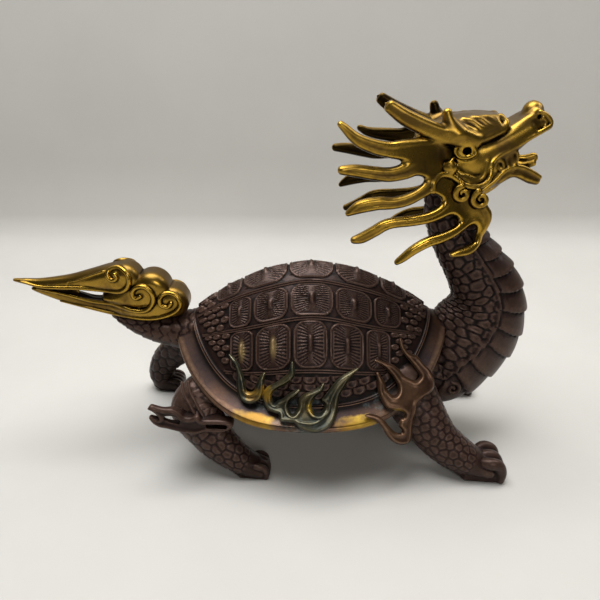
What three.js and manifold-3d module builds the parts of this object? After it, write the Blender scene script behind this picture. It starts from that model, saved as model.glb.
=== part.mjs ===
// A cast dragon turtle: a walking turtle with a scaled neck, a gilded dragon head with a streaming mane,
// a gilded tail plume, and flames brazed along the rim of its shell.
// Millimetres, +Z up. The head points along +X, and the origin is on the ground under the middle.
import * as THREE from 'three';
import { mergeVertices } from 'three/addons/utils/BufferGeometryUtils.js';
import Module from 'manifold-3d';

const wasm = await Module();
wasm.setup();

// The free form is drawn 185 long from the plume's tip to the snout, and its pose and proportions are shares
// of that length
const LENGTH = 185;
const DRAWN_LENGTH = 185;
const K = LENGTH / DRAWN_LENGTH;

// Sizes of the metal that stay as they are when the figure grows
const SEAM = 0.3;
const RIM_THICKNESS = 2.4;
const SCUTE_PROUD = 0.8;
const BELLY_PLATE_STEP = 1.1;
const STRAND_THICKNESS = 3.2;
const PLUME_WIDTH = 13;
const SCROLL_THICKNESS = 1.9;
const FLAME_THICKNESS = 2.4;
const FLAME_LEAN = 2.2;

// The shell in plan and in height: a dome on a saddle-shaped rim that is low at the flanks
const SHELL_MIDDLE = 4 * K;
const DOME_LENGTH = 84 * K;
const DOME_WIDTH = 60 * K;
const RIM_BAND = 7 * K;
const CROWN_HEIGHT = 69.5 * K;
const DOME_FOOT = { flank: 31 * K, rear: 51.5 * K, front: 52.5 * K };
const RIM_EDGE = { flank: 26 * K, rear: 46.5 * K, front: 49.5 * K };
const DOME_CURVE = 1.9;
const BELLY_HEIGHT = 17 * K;
const ROW_TAPER = 0.4;

// Belly plates down the front of the neck, and toes on each foot
const BELLY_PLATES = 8;
const TOES = 3;

const SIDEWAYS = new THREE.Vector3(0, 1, 0);
const TAU = 2 * Math.PI;
const degrees = THREE.MathUtils.degToRad;
const mix = THREE.MathUtils.lerp;
const drawn = (x, y, z) => new THREE.Vector3(x, y, z).multiplyScalar(K);

// Solids from rings of points

function manifoldOf(geometry) {
  geometry.deleteAttribute('normal');
  geometry.deleteAttribute('uv');
  const merged = mergeVertices(geometry, 1e-5);
  return new wasm.Manifold(new wasm.Mesh({
    numProp: 3,
    vertProperties: new Float32Array(merged.attributes.position.array),
    triVerts: new Uint32Array(merged.index.array),
  }));
}

// Six times the volume inside the faces: negative where they point inwards
function signedVolume(points, faces) {
  let sum = 0;
  for (let i = 0; i < faces.length; i += 3) {
    const [a, b, c] = [points[faces[i]], points[faces[i + 1]], points[faces[i + 2]]];
    sum += a.dot(new THREE.Vector3().crossVectors(b, c));
  }
  return sum;
}

// A skin under construction. Loops of points run the same way round, a band joins an inner loop to the
// next one out, and a fan closes a loop over its inside or over its outside.
function startSkin() {
  const points = [];
  const faces = [];
  const after = (loop, j) => loop[(j + 1) % loop.length];
  const centre = (loop) => (
    loop.reduce((sum, i) => sum.add(points[i]), new THREE.Vector3()).divideScalar(loop.length)
  );
  return {
    faces,
    loop: (ring) => ring.map((point) => points.push(point) - 1),
    band(inner, outer) {
      inner.forEach((a, j) => faces.push(a, outer[j], after(outer, j), a, after(outer, j), after(inner, j)));
    },
    fanInside(loop, hub = centre(loop)) {
      const middle = points.push(hub) - 1;
      loop.forEach((a, j) => faces.push(middle, a, after(loop, j)));
    },
    fanOutside(loop, hub = centre(loop)) {
      const middle = points.push(hub) - 1;
      loop.forEach((a, j) => faces.push(middle, after(loop, j), a));
    },
    solid() {
      if (signedVolume(points, faces) < 0) {
        faces.reverse();
      }
      const geometry = new THREE.BufferGeometry();
      const numbers = points.flatMap((point) => [point.x, point.y, point.z]);
      geometry.setAttribute('position', new THREE.Float32BufferAttribute(numbers, 3));
      geometry.setIndex(faces);
      return manifoldOf(geometry);
    },
  };
}

// One closed solid whose skin runs from ring to ring, with a fan over the first and the last
function closedSolid(rings) {
  const skin = startSkin();
  const loops = rings.map(skin.loop);
  loops.slice(1).forEach((loop, i) => skin.band(loops[i], loop));
  skin.fanInside(loops[0]);
  skin.fanOutside(loops[loops.length - 1]);
  return skin.solid();
}

const joined = (solids) => solids.reduce((sum, next) => sum.add(next));

// Both the solid and its mirror image across the figure's middle plane
const pair = (make) => [make(-1), make(1)];

// A number raised to a power that keeps its sign
const bulge = (value, power) => Math.sign(value) * Math.abs(value) ** power;

// Sweeps an oval along a smooth path. A station is [x, y, z, half width, half depth]; the depth is
// measured along the facing direction and the width square to it.
function sweep(stations, { facing = SIDEWAYS, sides = 8, perSpan = 2, grow = 0, blunt = 1, depth } = {}) {
  const smooth = (points) => new THREE.CatmullRomCurve3(points, false, 'catmullrom', 0.5);
  const path = smooth(stations.map(([x, y, z]) => drawn(x, y, z)));
  const girth = smooth(stations.map(([, , , a, b]) => drawn(a, b ?? a, 0)));
  const steps = Math.round((stations.length - 1) * perSpan);
  const rings = [];
  for (let i = 0; i <= steps; i += 1) {
    const t = i / steps;
    const centre = path.getPoint(t);
    const along = path.getTangent(t);
    const face = typeof facing === 'function' ? facing(t, centre) : facing;
    const deep = face.clone().addScaledVector(along, -face.dot(along)).normalize();
    const across = new THREE.Vector3().crossVectors(along, deep);
    const size = girth.getPoint(t);
    const half = Math.max(size.x, 0.2) + grow;
    const thick = (depth === undefined ? Math.max(size.y, 0.2) : Math.min(depth / 2, half)) + grow;
    rings.push(Array.from({ length: sides }, (_, j) => {
      const angle = (TAU * (j + 0.5)) / sides;
      return centre.clone()
        .addScaledVector(across, bulge(Math.cos(angle), blunt) * half)
        .addScaledVector(deep, bulge(Math.sin(angle), blunt) * thick);
    }));
  }
  return closedSolid(rings);
}

// A low egg shape with the given half sizes
function egg([x, y, z], [rx, ry, rz], columns = 8, rows = 5) {
  const geometry = new THREE.SphereGeometry(1, columns, rows);
  geometry.scale(rx * K, ry * K, rz * K);
  geometry.translate(x * K, y * K, z * K);
  return manifoldOf(geometry);
}

// A curl in the plane of the figure's length: a spiral that winds in to its middle
function curl([x, y, z], { radius, turns, start, way = 1, thick }) {
  const steps = Math.round(turns * 5);
  const stations = Array.from({ length: steps + 1 }, (_, i) => {
    const t = i / steps;
    const angle = degrees(start) + way * t * turns * TAU;
    const reach = radius * (1 - 0.85 * t);
    return [x + reach * Math.cos(angle), y, z + reach * Math.sin(angle), thick * (1 - 0.3 * t), thick];
  });
  return sweep(stations, { sides: 4, perSpan: 1 });
}

// The shell

// Height of a saddle-shaped edge: low at the flanks, high at both ends
function saddle(levels, angle) {
  const lift = Math.cos(angle);
  const end = lift > 0 ? levels.front : levels.rear;
  return mix(levels.flank, end, lift ** 4);
}

// A point of the shell. Reach 0 is the crown, 1 the dome's foot, 2 the rim's edge, and past 2 it hangs
// below the edge. Angle 0 is at the neck.
function shellPoint(angle, reach, out = 0) {
  const flare = Math.min(Math.max(reach - 1, 0), 1) * RIM_BAND;
  const spread = Math.min(reach, 1);
  const foot = saddle(DOME_FOOT, angle);
  const edge = saddle(RIM_EDGE, angle);
  const dome = mix(CROWN_HEIGHT, foot, spread ** DOME_CURVE);
  const z = reach <= 1 ? dome : mix(foot, edge, Math.min(reach - 1, 1)) - Math.max(reach - 2, 0) * RIM_BAND;
  return new THREE.Vector3(
    SHELL_MIDDLE + ((DOME_LENGTH / 2) * spread + flare + out) * Math.cos(angle),
    ((DOME_WIDTH / 2) * spread + flare + out) * Math.sin(angle),
    z,
  );
}

function shellNormal(angle, reach) {
  const step = 0.002;
  const round = shellPoint(angle + step, reach).sub(shellPoint(angle - step, reach));
  const down = shellPoint(angle, reach + step).sub(shellPoint(angle, reach - step));
  return new THREE.Vector3().crossVectors(down, round).normalize();
}

// The same point found from above: a place along the length, and a share of the half width that
// narrows towards both ends as the rows of scutes do
function domePoint(x, share, proud = 0) {
  const along = (x * K - SHELL_MIDDLE) / (DOME_LENGTH / 2);
  const across = share * (1 - ROW_TAPER * along * along);
  const reach = Math.max(Math.hypot(along, across), 0.01);
  const angle = Math.atan2(across, along);
  return shellPoint(angle, reach).addScaledVector(shellNormal(angle, reach), proud);
}

// Rows of scutes: where each begins along the shell, and the shares of the half width they span
const SPINE_ROW = { ends: [-30, -20, -4, 12, 28, 38], inner: -0.23, outer: 0.23 };
const UPPER_ROW = { ends: [-25, -16.2, -3.6, 11.6, 25, 35.4], inner: 0.3, outer: 0.54 };
const LOWER_ROW = { ends: [-24.4, -15.4, -2.6, 9.6, 22, 31.4], inner: 0.585, outer: 0.83 };
const SCUTE_GAP = 1.3;

const mirroredRow = ({ ends, inner, outer }) => ({ ends, inner: -outer, outer: -inner });

// A rounded outline on the dome, drawn round the middle of a scute
function scuteOutline({ x, length, inner, outer }, share, proud) {
  const corners = 8;
  return Array.from({ length: corners }, (_, i) => {
    const angle = (TAU * (i + 0.5)) / corners;
    return domePoint(
      x + (length / 2) * share * bulge(Math.cos(angle), 0.5),
      (inner + outer) / 2 + ((outer - inner) / 2) * share * bulge(Math.sin(angle), 0.5),
      proud,
    );
  });
}

function scutes() {
  const rows = [SPINE_ROW, UPPER_ROW, LOWER_ROW, mirroredRow(UPPER_ROW), mirroredRow(LOWER_ROW)];
  return rows.flatMap(({ ends, inner, outer }) => ends.slice(1).map((end, i) => (
    { x: (end + ends[i]) / 2, length: end - ends[i] - SCUTE_GAP, inner, outer }
  )));
}

// Raises one scute from its outline: a border, a sunken panel and a boss in the middle
function raiseScute(skin, outline, scute, grow) {
  const border = skin.loop(scuteOutline(scute, 0.88, SCUTE_PROUD + grow));
  const panel = skin.loop(scuteOutline(scute, 0.64, SCUTE_PROUD * 0.3 + grow));
  skin.band(border, outline);
  skin.band(panel, border);
  skin.fanInside(panel, domePoint(scute.x, (scute.inner + scute.outer) / 2, SCUTE_PROUD * 1.3 + grow));
}

// Carapace, flared rim, under-rim, flanks and flat belly in one skin
function shell(grow = 0) {
  const skin = startSkin();
  const columns = 28;
  const ring = (make) => skin.loop(Array.from({ length: columns }, (_, i) => make((TAU * i) / columns)));
  const lifted = (reach, proud) => ring((angle) => (
    shellPoint(angle, reach).addScaledVector(shellNormal(angle, reach), proud + grow)
  ));
  const under = (share, level) => ring((angle) => {
    const point = shellPoint(angle, 1);
    const x = mix(SHELL_MIDDLE, point.x, share);
    const y = point.y * share;
    return new THREE.Vector3(x + Math.cos(angle) * grow, y + Math.sin(angle) * grow, level(angle));
  });
  const underRim = (angle) => saddle(DOME_FOOT, angle) - RIM_THICKNESS - 2 * K;

  const foot = Array.from({ length: columns }, (_, i) => {
    const angle = (TAU * i) / columns;
    return shellPoint(angle, 1).addScaledVector(shellNormal(angle, 1), grow);
  });
  const raised = scutes();
  const outlines = raised.map((scute) => scuteOutline(scute, 1, grow));

  const plan = (points) => points.map(({ x, y }) => new THREE.Vector2(x, y));
  const loops = [foot, ...outlines].map(skin.loop);
  const numbers = loops.flat();
  const flat = [foot, ...outlines].flatMap(plan);
  THREE.ShapeUtils.triangulateShape(plan(foot), outlines.map(plan)).forEach(([a, b, c]) => {
    const turn = flat[b].clone().sub(flat[a]).cross(flat[c].clone().sub(flat[a]));
    skin.faces.push(...(turn > 0 ? [a, b, c] : [a, c, b]).map((i) => numbers[i]));
  });
  raised.forEach((scute, i) => raiseScute(skin, loops[i + 1], scute, grow));

  const rim = [
    lifted(1.14, -0.6),
    lifted(1.98, 0),
    ring((angle) => shellPoint(angle, 2, grow).setZ(saddle(RIM_EDGE, angle) - RIM_THICKNESS - grow)),
    under(1.02, (angle) => underRim(angle) - grow),
    under(0.97, (angle) => mix(BELLY_HEIGHT + 3 * K, underRim(angle), 0.06) - grow),
    under(0.86, () => BELLY_HEIGHT - grow),
  ];
  [loops[0], ...rim.slice(0, -1)].forEach((inner, i) => skin.band(inner, rim[i]));
  skin.fanOutside(rim[rim.length - 1]);
  return skin.solid();
}

// The neck: an oval that swings forward and up. Plates overlap down its front, each one proudest at its
// lower edge.

const NECK = [
  [42, 0, 31, 12, 12],
  [53, 0, 27.5, 13.2, 12.6],
  [59.7, 0, 35.7, 16, 12.4],
  [64.9, 0, 45, 16.2, 11.8],
  [67.1, 0, 53, 14.2, 11],
  [66.1, 0, 60.5, 12.2, 10],
  [62, 0, 67.8, 10.5, 9.2],
  [57, 0, 75, 9.2, 8.4],
  [52.6, 0, 82, 8.2, 7.8],
  [49.6, 0, 89.5, 7.4, 7],
  [48.6, 0, 97, 6.2, 6],
];
const PLATE_HALF_ANGLE = 75;

function neck(grow = 0) {
  const smooth = (points) => new THREE.CatmullRomCurve3(points, false, 'catmullrom', 0.5);
  const path = smooth(NECK.map(([x, y, z]) => drawn(x, y, z)));
  const girth = smooth(NECK.map(([, , , a, b]) => drawn(a, b, 0)));
  const [first, last] = [0.08, 0.86];
  const sides = 10;
  const ring = (t, step) => {
    const centre = path.getPoint(t);
    const along = path.getTangent(t);
    const front = new THREE.Vector3().crossVectors(SIDEWAYS, along).normalize();
    const size = girth.getPoint(t);
    return Array.from({ length: sides }, (_, j) => {
      const angle = (TAU * j) / sides;
      const onPlate = Math.cos(angle) > Math.cos(degrees(PLATE_HALF_ANGLE));
      const proud = grow + (onPlate ? step : 0);
      return centre.clone()
        .addScaledVector(front, Math.cos(angle) * (size.x + proud))
        .addScaledVector(SIDEWAYS, Math.sin(angle) * (size.y + proud));
    });
  };
  const rings = [ring(0, 0)];
  for (let i = 0; i < BELLY_PLATES; i += 1) {
    const [low, high] = [mix(first, last, i / BELLY_PLATES), mix(first, last, (i + 1) / BELLY_PLATES)];
    rings.push(ring(low + 0.004, BELLY_PLATE_STEP), ring(high, 0));
  }
  rings.push(ring(1, 0));
  return closedSolid(rings);
}

// A small scroll at the foot of the plates, on each side of the chest
const neckScrolls = () => pair((side) => curl([56, side * 10.8, 22.8], {
  radius: 3, turns: 1.1, start: 100, way: -1, thick: 1,
}));

// The legs: each is a hip, a shank and a paw with its toes

function paw([x, y], { width, height, reach }) {
  const spread = (i) => y + (i / (TOES - 1) - 0.5) * width;
  const toe = width / (TOES * 1.6);
  const toes = Array.from({ length: TOES }, (_, i) => sweep([
    [x - reach * 0.8, spread(i), height * 0.52, height * 0.42, toe],
    [x, spread(i), height * 0.28, height * 0.3, toe * 0.95],
    [x + toe * 0.7, spread(i), height * 0.16, height * 0.12, toe * 0.5],
  ], { sides: 4, perSpan: 1, blunt: 0.8 }));
  const pad = sweep([
    [x - reach * 1.5, y, height * 0.3, height * 0.38, width * 0.4],
    [x - reach * 0.4, y, height * 0.26, height * 0.36, width * 0.5],
    [x + toe * 0.2, y, height * 0.1, height * 0.16, width * 0.44],
  ], { sides: 6, perSpan: 1 });
  return [...toes, pad];
}

const RIGHT_HIND_LEG = [
  [-30, -14, 29, 8, 8],
  [-36, -20.5, 23.8, 9.2, 7],
  [-31.5, -25, 15.5, 7.6, 6],
  [-25, -27, 9, 6, 5.2],
  [-19, -27.5, 4.6, 4.6, 5],
  [-13.5, -27.5, 2.4, 3.2, 4.8],
];
const LEFT_HIND_LEG = [
  [-34, 18, 34, 9, 9],
  [-44, 24, 27, 8.8, 8],
  [-54, 27, 18.5, 6.6, 6.6],
  [-59.6, 28, 11, 5.4, 5.6],
  [-59.6, 28, 4.6, 5, 5],
  [-54, 28, 2.4, 3, 5],
];
const RIGHT_FRONT_LEG = [
  [36, -15, 31, 10.5, 9],
  [42, -20.5, 23.5, 10, 7.4],
  [48.6, -25, 15, 7.8, 6.4],
  [54.6, -27.4, 9.4, 6.2, 5.8],
  [60, -28, 6, 5, 5.8],
  [66, -28, 3.8, 3.8, 6.2],
];
const LEFT_FRONT_LEG = RIGHT_FRONT_LEG.map(([x, y, z, a, b], i) => [x + 0.5 * i, -y - 0.35 * i, z, a, b]);

function legs(grow = 0) {
  const options = { sides: 8, perSpan: 1, grow };
  return [
    sweep(RIGHT_HIND_LEG, options),
    sweep(LEFT_HIND_LEG, options),
    sweep(RIGHT_FRONT_LEG, options),
    sweep(LEFT_FRONT_LEG, options),
  ];
}

function paws() {
  return [
    ...paw([-12.4, -27.5], { width: 8, height: 5.4, reach: 5.5 }),
    ...paw([-52.4, 28], { width: 8, height: 6, reach: 5.5 }),
    ...paw([69.6, -28], { width: 11, height: 9.6, reach: 7.5 }),
    ...paw([72.2, 26.3], { width: 11, height: 9.6, reach: 7.5 }),
  ];
}

// The flame on each thigh: a forked tip round an open eye, and a loop in front of it. The right leg stands
// closer in at the hip than the left one, and the flame with it.
function thighFlame(side) {
  const y = side * (side < 0 ? 29.5 : 31.5);
  const strokes = [
    [[-50.6, 29.7, 0.7], [-46.6, 28.9, 1.8], [-42.4, 28.7, 1.5], [-38.6, 26.3, 1.5], [-35, 22.9, 2]],
    [[-50.2, 26.1, 0.6], [-46.6, 23.7, 1.6], [-40, 21.5, 1.6], [-34.4, 20.9, 1.7], [-31.6, 22.9, 1.5],
      [-27.8, 24.7, 1.3], [-23.6, 23.9, 1.3], [-23.6, 21.1, 1.3], [-27.4, 19.9, 1.3], [-31, 20.9, 1.4]],
    [[-46.4, 28.5, 1.6], [-46.2, 26.3, 1.5], [-46.6, 23.9, 1.6]],
  ];
  return strokes.map((points) => sweep(points.map(([x, z, a]) => [x, y, z, a, 2]), {
    sides: 4, perSpan: 1, blunt: 0.3,
  }));
}

// The dark scaled root of the tail
const TAIL_ROOT = [
  [-32, 0, 43, 9, 10],
  [-44, 0, 43.6, 6.6, 8],
  [-54, 0, 45, 5, 6.4],
  [-62, 0, 48, 3.4, 4.6],
  [-67, 0, 50, 1.6, 2.4],
];
const tailRoot = (grow = 0) => sweep(TAIL_ROOT, { sides: 8, perSpan: 1, grow });

// Everything below the ground is cut away, which leaves the soles flat
function ground() {
  const depth = 40;
  const slab = new THREE.BoxGeometry(400 * K, 400 * K, depth);
  slab.translate(0, 0, -depth / 2);
  return manifoldOf(slab);
}

const turtleBody = () => joined([
  shell(), neck(), tailRoot(), ...legs(), ...paws(), ...neckScrolls(), ...thighFlame(-1), ...thighFlame(1),
]).subtract(ground());

// The dragon head

const SKULL = [
  [38, 0, 108, 5, 5],
  [42, 0, 109, 9, 8],
  [49, 0, 109, 11.6, 9.4],
  [56, 0, 109, 11.4, 9],
  [62, 0, 110.5, 8, 7],
  [65.5, 0, 112.5, 4.6, 5],
];
const MUZZLE = [
  [55, 0, 103, 5, 7.6],
  [61, 0, 107, 4.8, 7.2],
  [66, 0, 111.6, 3.8, 6.4],
  [70.5, 0, 115.6, 3.2, 5.4],
  [74.5, 0, 118.6, 2.8, 5],
  [78.4, 0, 118.4, 1.6, 4],
];
const LOWER_JAW = [
  [54, 0, 97.5, 4.5, 8],
  [60.5, 0, 99.4, 3, 7.6],
  [66, 0, 102.2, 1.8, 7],
  [70.5, 0, 103.2, 1.5, 6.4],
  [75, 0, 101.6, 1.5, 5.6],
  [78.6, 0, 98.9, 1, 4],
];
const HORN = [
  [51, 8.4, 114.6, 3.2],
  [45, 9.2, 115.6, 3],
  [39, 9.8, 117.6, 2.7],
  [32, 10.2, 121, 2.2],
  [27, 10.4, 124, 1.6],
  [24.8, 10.4, 125.6, 0.7],
];
const TINE = [[43.4, 9.6, 116.4, 1.6], [43.6, 9.8, 121, 1.3], [42.8, 9.8, 125.2, 0.5]];
const BROW = [
  [46.5, 8.4, 115.6, 1.3],
  [51, 9.2, 114.4, 1.7],
  [56, 8.8, 114.8, 1.6],
  [61, 7, 117, 1.5],
  [65, 4.6, 119.2, 1],
];
const CHEEK_BAND = [
  [42, 9.4, 101.6, 0.9],
  [46, 10, 103.6, 0.9],
  [50.4, 10.2, 101.6, 0.9],
  [54.4, 9.8, 99.4, 0.9],
  [58.6, 8.8, 101, 0.9],
  [60.6, 7.8, 105, 0.8],
];
const CREST = [
  [63, 0, 118.6, 1.6, 4.6],
  [56, 0, 119, 2.2, 6.4],
  [48, 0, 117.4, 2.2, 6.4],
  [40, 0, 113.6, 1.6, 4],
];

// Strands of the mane on one side, from the cheek out to the tip.
// A station is [x, distance from the middle, z, half width].
const TOP_STRAND = [
  [46, 9.4, 108.4, 4], [40.8, 11.6, 110.4, 2.6], [31.3, 15, 112.1, 2.1], [23.8, 17, 113, 2],
  [16.6, 17.8, 114.9, 1.9], [13.2, 18, 118.2, 1.6], [11, 18, 120.2, 0.6],
];
const SHORT_TOP_STRAND = [
  [46, 9.4, 108.4, 4], [41, 11.6, 110.4, 2.6], [34, 14.6, 111.4, 2.2], [28, 16.2, 111.6, 2],
  [23.6, 17, 112, 1.6], [20, 17.2, 113.6, 0.6],
];
const LOWER_STRANDS = [
  [[44.6, 11.2, 105.4, 3.4], [38.8, 13.6, 106.2, 2.6], [32, 15.6, 104.9, 2.1], [26, 17, 104.4, 2],
    [19.4, 17.8, 105.1, 2], [14.6, 18, 106, 1.8], [11.4, 18.2, 106.6, 0.8]],
  [[46.6, 11.8, 100, 3.6], [41, 13.4, 101.4, 2.6], [37.8, 15, 99.1, 2.3], [32.4, 16.6, 97.1, 2.1],
    [24.8, 17.6, 96.5, 2], [18, 18.2, 95.3, 1.9], [13.9, 18.4, 92.2, 0.8]],
  [[50, 12.2, 96, 3.4], [45.3, 13.6, 94.4, 2.6], [39.4, 15.8, 91.5, 2.3], [33, 17.2, 90.1, 2.1],
    [27.8, 17.8, 88.4, 2], [22, 18.2, 85, 1.8], [17, 18.4, 83, 0.8]],
  [[55, 12, 91, 3.4], [51, 13.2, 88, 2.4], [46, 14.4, 84.5, 2.1], [40.6, 15.6, 82.4, 2],
    [36, 16.8, 79.2, 1.9], [32.2, 17.8, 76.6, 1.6], [29.9, 18.2, 75.5, 0.6]],
  [[59.4, 10.6, 84, 2.4], [57.4, 11.2, 80.6, 2], [53, 12.4, 78.9, 1.6], [48.4, 12.8, 78.2, 0.6]],
];

// The mane spreads as it runs back, so its ribbons face away from the head and a little forward
const maneFacing = (side) => new THREE.Vector3(0.2, side, 0.12).normalize();

// The sheet that the strands grow from, down behind the cheek
const COLLAR = [
  [43, 8.6, 109.5, 3.5],
  [44.6, 10.6, 102.6, 6],
  [49.4, 11.4, 96, 6.6],
  [54.6, 11, 91.4, 6.2],
  [58.8, 10, 85, 3.2],
  [58.4, 10, 80, 1.4],
];

function strand(points, side) {
  const stations = points.map(([x, y, z, a]) => [x, side * y, z, a]);
  return sweep(stations, {
    facing: maneFacing(side), sides: 4, perSpan: 0.75, blunt: 0.4, depth: STRAND_THICKNESS,
  });
}

const oneSided = (points, side) => points.map(([x, y, z, a, b]) => [x, side * y, z, a, b]);

function headSide(side) {
  const rod = (points, sides = 6) => sweep(oneSided(points, side), { sides, perSpan: 1 });
  const eyeRing = sweep(Array.from({ length: 7 }, (_, i) => {
    const angle = (TAU * i) / 6.4;
    return [51.6 + 3.5 * Math.cos(angle), side * 9.2, 110.4 + 2.7 * Math.sin(angle), 0.75];
  }), { sides: 4, perSpan: 1 });
  return [
    rod(HORN),
    rod(TINE, 5),
    rod(BROW, 5),
    rod(CHEEK_BAND, 4),
    eyeRing,
    egg([51.4, side * 8.4, 110.4], [2, 1.6, 1.7], 6, 4),
    egg([47.2, side * 9.8, 106], [2.6, 2, 2.4], 6, 4),
    egg([56.6, side * 7.8, 103.6], [4, 2.4, 3.6], 6, 4),
    egg([77, side * 3.8, 118.6], [2.8, 1.9, 2], 6, 4),
    curl([50.9, side * 12.4, 97], { radius: 2.5, turns: 1.1, start: 120, way: -1, thick: 0.95 }),
    curl([57, side * 11.6, 94.8], { radius: 2.8, turns: 1.1, start: 120, way: -1, thick: 0.95 }),
    curl([63.8, side * 6.2, 105.4], { radius: 1.9, turns: 0.9, start: 20, way: 1, thick: 0.9 }),
  ];
}

function dragonHead() {
  const manes = pair((side) => [COLLAR, side < 0 ? TOP_STRAND : SHORT_TOP_STRAND, ...LOWER_STRANDS]
    .map((points) => strand(points, side)));
  const solid = joined([
    sweep(SKULL, { sides: 8, perSpan: 1, blunt: 0.9 }),
    sweep(MUZZLE, { sides: 8, perSpan: 1, blunt: 0.85 }),
    sweep(LOWER_JAW, { sides: 8, perSpan: 1, blunt: 0.8 }),
    sweep(CREST, { sides: 8, perSpan: 1 }),
    egg([72.6, 0, 120.8], [2.8, 3, 3.4], 6, 4),
    ...pair(headSide).flat(),
    ...manes.flat(),
  ]);
  return solid.subtract(neck(SEAM));
}

// The tail plume: three rolled locks one above the other, drawn out into two tips

const ROLLS = [
  { x: -61.5, z: 63.6, radius: 5.6 },
  { x: -52.4, z: 60.4, radius: 6.4 },
  { x: -45.6, z: 55.2, radius: 6 },
];
const UPPER_TIP = [
  [-57, 64, 5.2, 1], [-63, 64.8, 4.6, 1], [-71, 63.8, 3.2, 0.74], [-80, 62.6, 2.3, 0.5],
  [-91, 61.8, 1.7, 0.36], [-98, 62.4, 1.1, 0.22], [-102.4, 63, 0.5, 0.1],
];
const LOWER_TIP = [
  [-45, 51.6, 3.6, 0.86], [-54, 50.6, 3, 0.9], [-64, 51.8, 2.4, 0.66], [-72, 53.4, 1.8, 0.4],
  [-80, 55, 1.9, 0.3], [-86, 56.8, 2, 0.26], [-92, 58.8, 1.2, 0.2], [-96.2, 60, 0.6, 0.1],
];

const MIDDLE_LOCK = [
  [-46, 57, 5, 0.8], [-55, 57.4, 3.8, 0.8], [-63, 56.6, 2.8, 0.6], [-69, 57.6, 2, 0.4], [-72.6, 58, 0.6, 0.1],
];

function tailPlume() {
  const half = PLUME_WIDTH / 2 / K;
  const roll = ({ x, z, radius }) => sweep([
    [x, -half, z, radius * 0.72, radius * 0.72],
    [x, -half * 0.8, z, radius, radius],
    [x, half * 0.8, z, radius, radius],
    [x, half, z, radius * 0.72, radius * 0.72],
  ], { facing: new THREE.Vector3(0, 0, 1), sides: 8, perSpan: 1 });
  const tip = (points) => sweep(points.map(([x, z, a, b]) => [x, 0, z, a, half * b]), {
    sides: 6, blunt: 0.8, perSpan: 1,
  });
  const scroll = ({ x, z, radius }, side) => curl([x - 1.2, side * half * 0.97, z + 0.4], {
    radius: radius * 0.82, turns: 1.2, start: -100, way: 1, thick: SCROLL_THICKNESS / 2 / K,
  });
  const scrolls = pair((side) => ROLLS.map((lock) => scroll(lock, side)));
  return joined([...ROLLS.map(roll), tip(UPPER_TIP), tip(MIDDLE_LOCK), tip(LOWER_TIP), ...scrolls.flat()])
    .subtract(joined([shell(SEAM), tailRoot(SEAM)]));
}

// Flames on the shell: strokes given by the angle from the middle of the flank towards the neck, the reach
// from the crown, and the half width

const RIM_FLAMES = [
  [[-46.7, 0.89, 0.4], [-42.6, 0.9, 0.6], [-38.9, 0.92, 0.9], [-35.4, 0.96, 1.2], [-33.6, 1.14, 1.5],
    [-31, 1.26, 1.7], [-28.2, 1.25, 1.8], [-25.9, 1.09, 1.7], [-25, 0.96, 1.3], [-25.3, 0.92, 0.9],
    [-22.9, 0.87, 0.4]],
  [[-27, 1.14, 1.2], [-19.5, 1.14, 1.2]],
  [[-10.5, 0.81, 0.4], [-9.7, 0.85, 0.7], [-13.6, 0.91, 1.1], [-17.4, 0.93, 1.2], [-20, 0.96, 1.4],
    [-20.3, 1.07, 1.5], [-17.7, 1.29, 1.6], [-12, 1.34, 2], [-11.1, 1.55, 1.8], [-9.1, 1.76, 1.6],
    [-5, 1.78, 1.6]],
  [[-6.1, 0.94, 0.4], [-8.3, 0.96, 0.7], [-10.9, 0.97, 1.1], [-12.2, 1.3, 1.9]],
  [[5.2, 0.91, 0.4], [1.3, 0.95, 0.8], [-1.8, 0.97, 1.2], [-4, 1.2, 1.6], [-5, 1.67, 1.8], [-6, 1.8, 1.7]],
  [[23.9, 0.86, 0.4], [19.4, 0.87, 0.8], [15.6, 0.89, 1.2], [12.4, 0.92, 1.5], [10.2, 0.95, 1.9],
    [9, 1.01, 2.3], [8, 1.37, 2.5], [5.8, 1.72, 2.4], [2.9, 1.96, 2.2], [-0.1, 2, 1.9], [-5.3, 1.81, 1.6]],
  [[-5.2, 1.67, 1.6], [-2.1, 1.74, 2.2], [1.8, 1.78, 2.4], [6, 1.6, 2]],
];
const SHOULDER_FLAME = [
  [[53.6, 0.86, 0.4], [51.9, 0.89, 0.6], [51.8, 0.93, 0.8], [52.4, 0.98, 1.1], [52.9, 1.42, 1.7],
    [52.4, 1.81, 2.2], [50.8, 2.03, 2.6], [47.6, 2.05, 3]],
  [[34.2, 0.88, 0.4], [37.8, 0.92, 0.8], [40.5, 0.96, 1.4], [42.3, 1.21, 1.9], [42.3, 1.56, 2.4],
    [43.2, 1.89, 3]],
  [[32.6, 0.93, 0.4], [33.5, 0.97, 0.7], [33.4, 1.11, 0.9], [32.6, 1.41, 1.2], [33.2, 1.71, 1.6],
    [35.5, 1.93, 2], [39, 2, 2.6]],
  [[50.8, 2.03, 2.2], [47.6, 2.05, 3], [43.6, 2, 3.4], [41, 2.1, 2.6], [40.2, 2.43, 1.7], [39.7, 2.68, 1.9],
    [37.4, 2.9, 2], [36.8, 3.3, 1.8], [34.7, 3.51, 1.7], [32.4, 3.26, 1.7], [28.7, 2.62, 1.2],
    [23.5, 2, 0.6]],
];

// The point a flame's middle passes through: clear of the metal under it by the seam and half its thickness
function flamePoint(side, angle, reach) {
  const round = side * (Math.PI / 2 - degrees(angle));
  const hang = Math.max(reach - 2, 0) * FLAME_LEAN;
  const off = SEAM + (reach < 1 ? SCUTE_PROUD : 0) + FLAME_THICKNESS / 2;
  return shellPoint(round, reach, hang).addScaledVector(shellNormal(round, reach), off);
}

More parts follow.
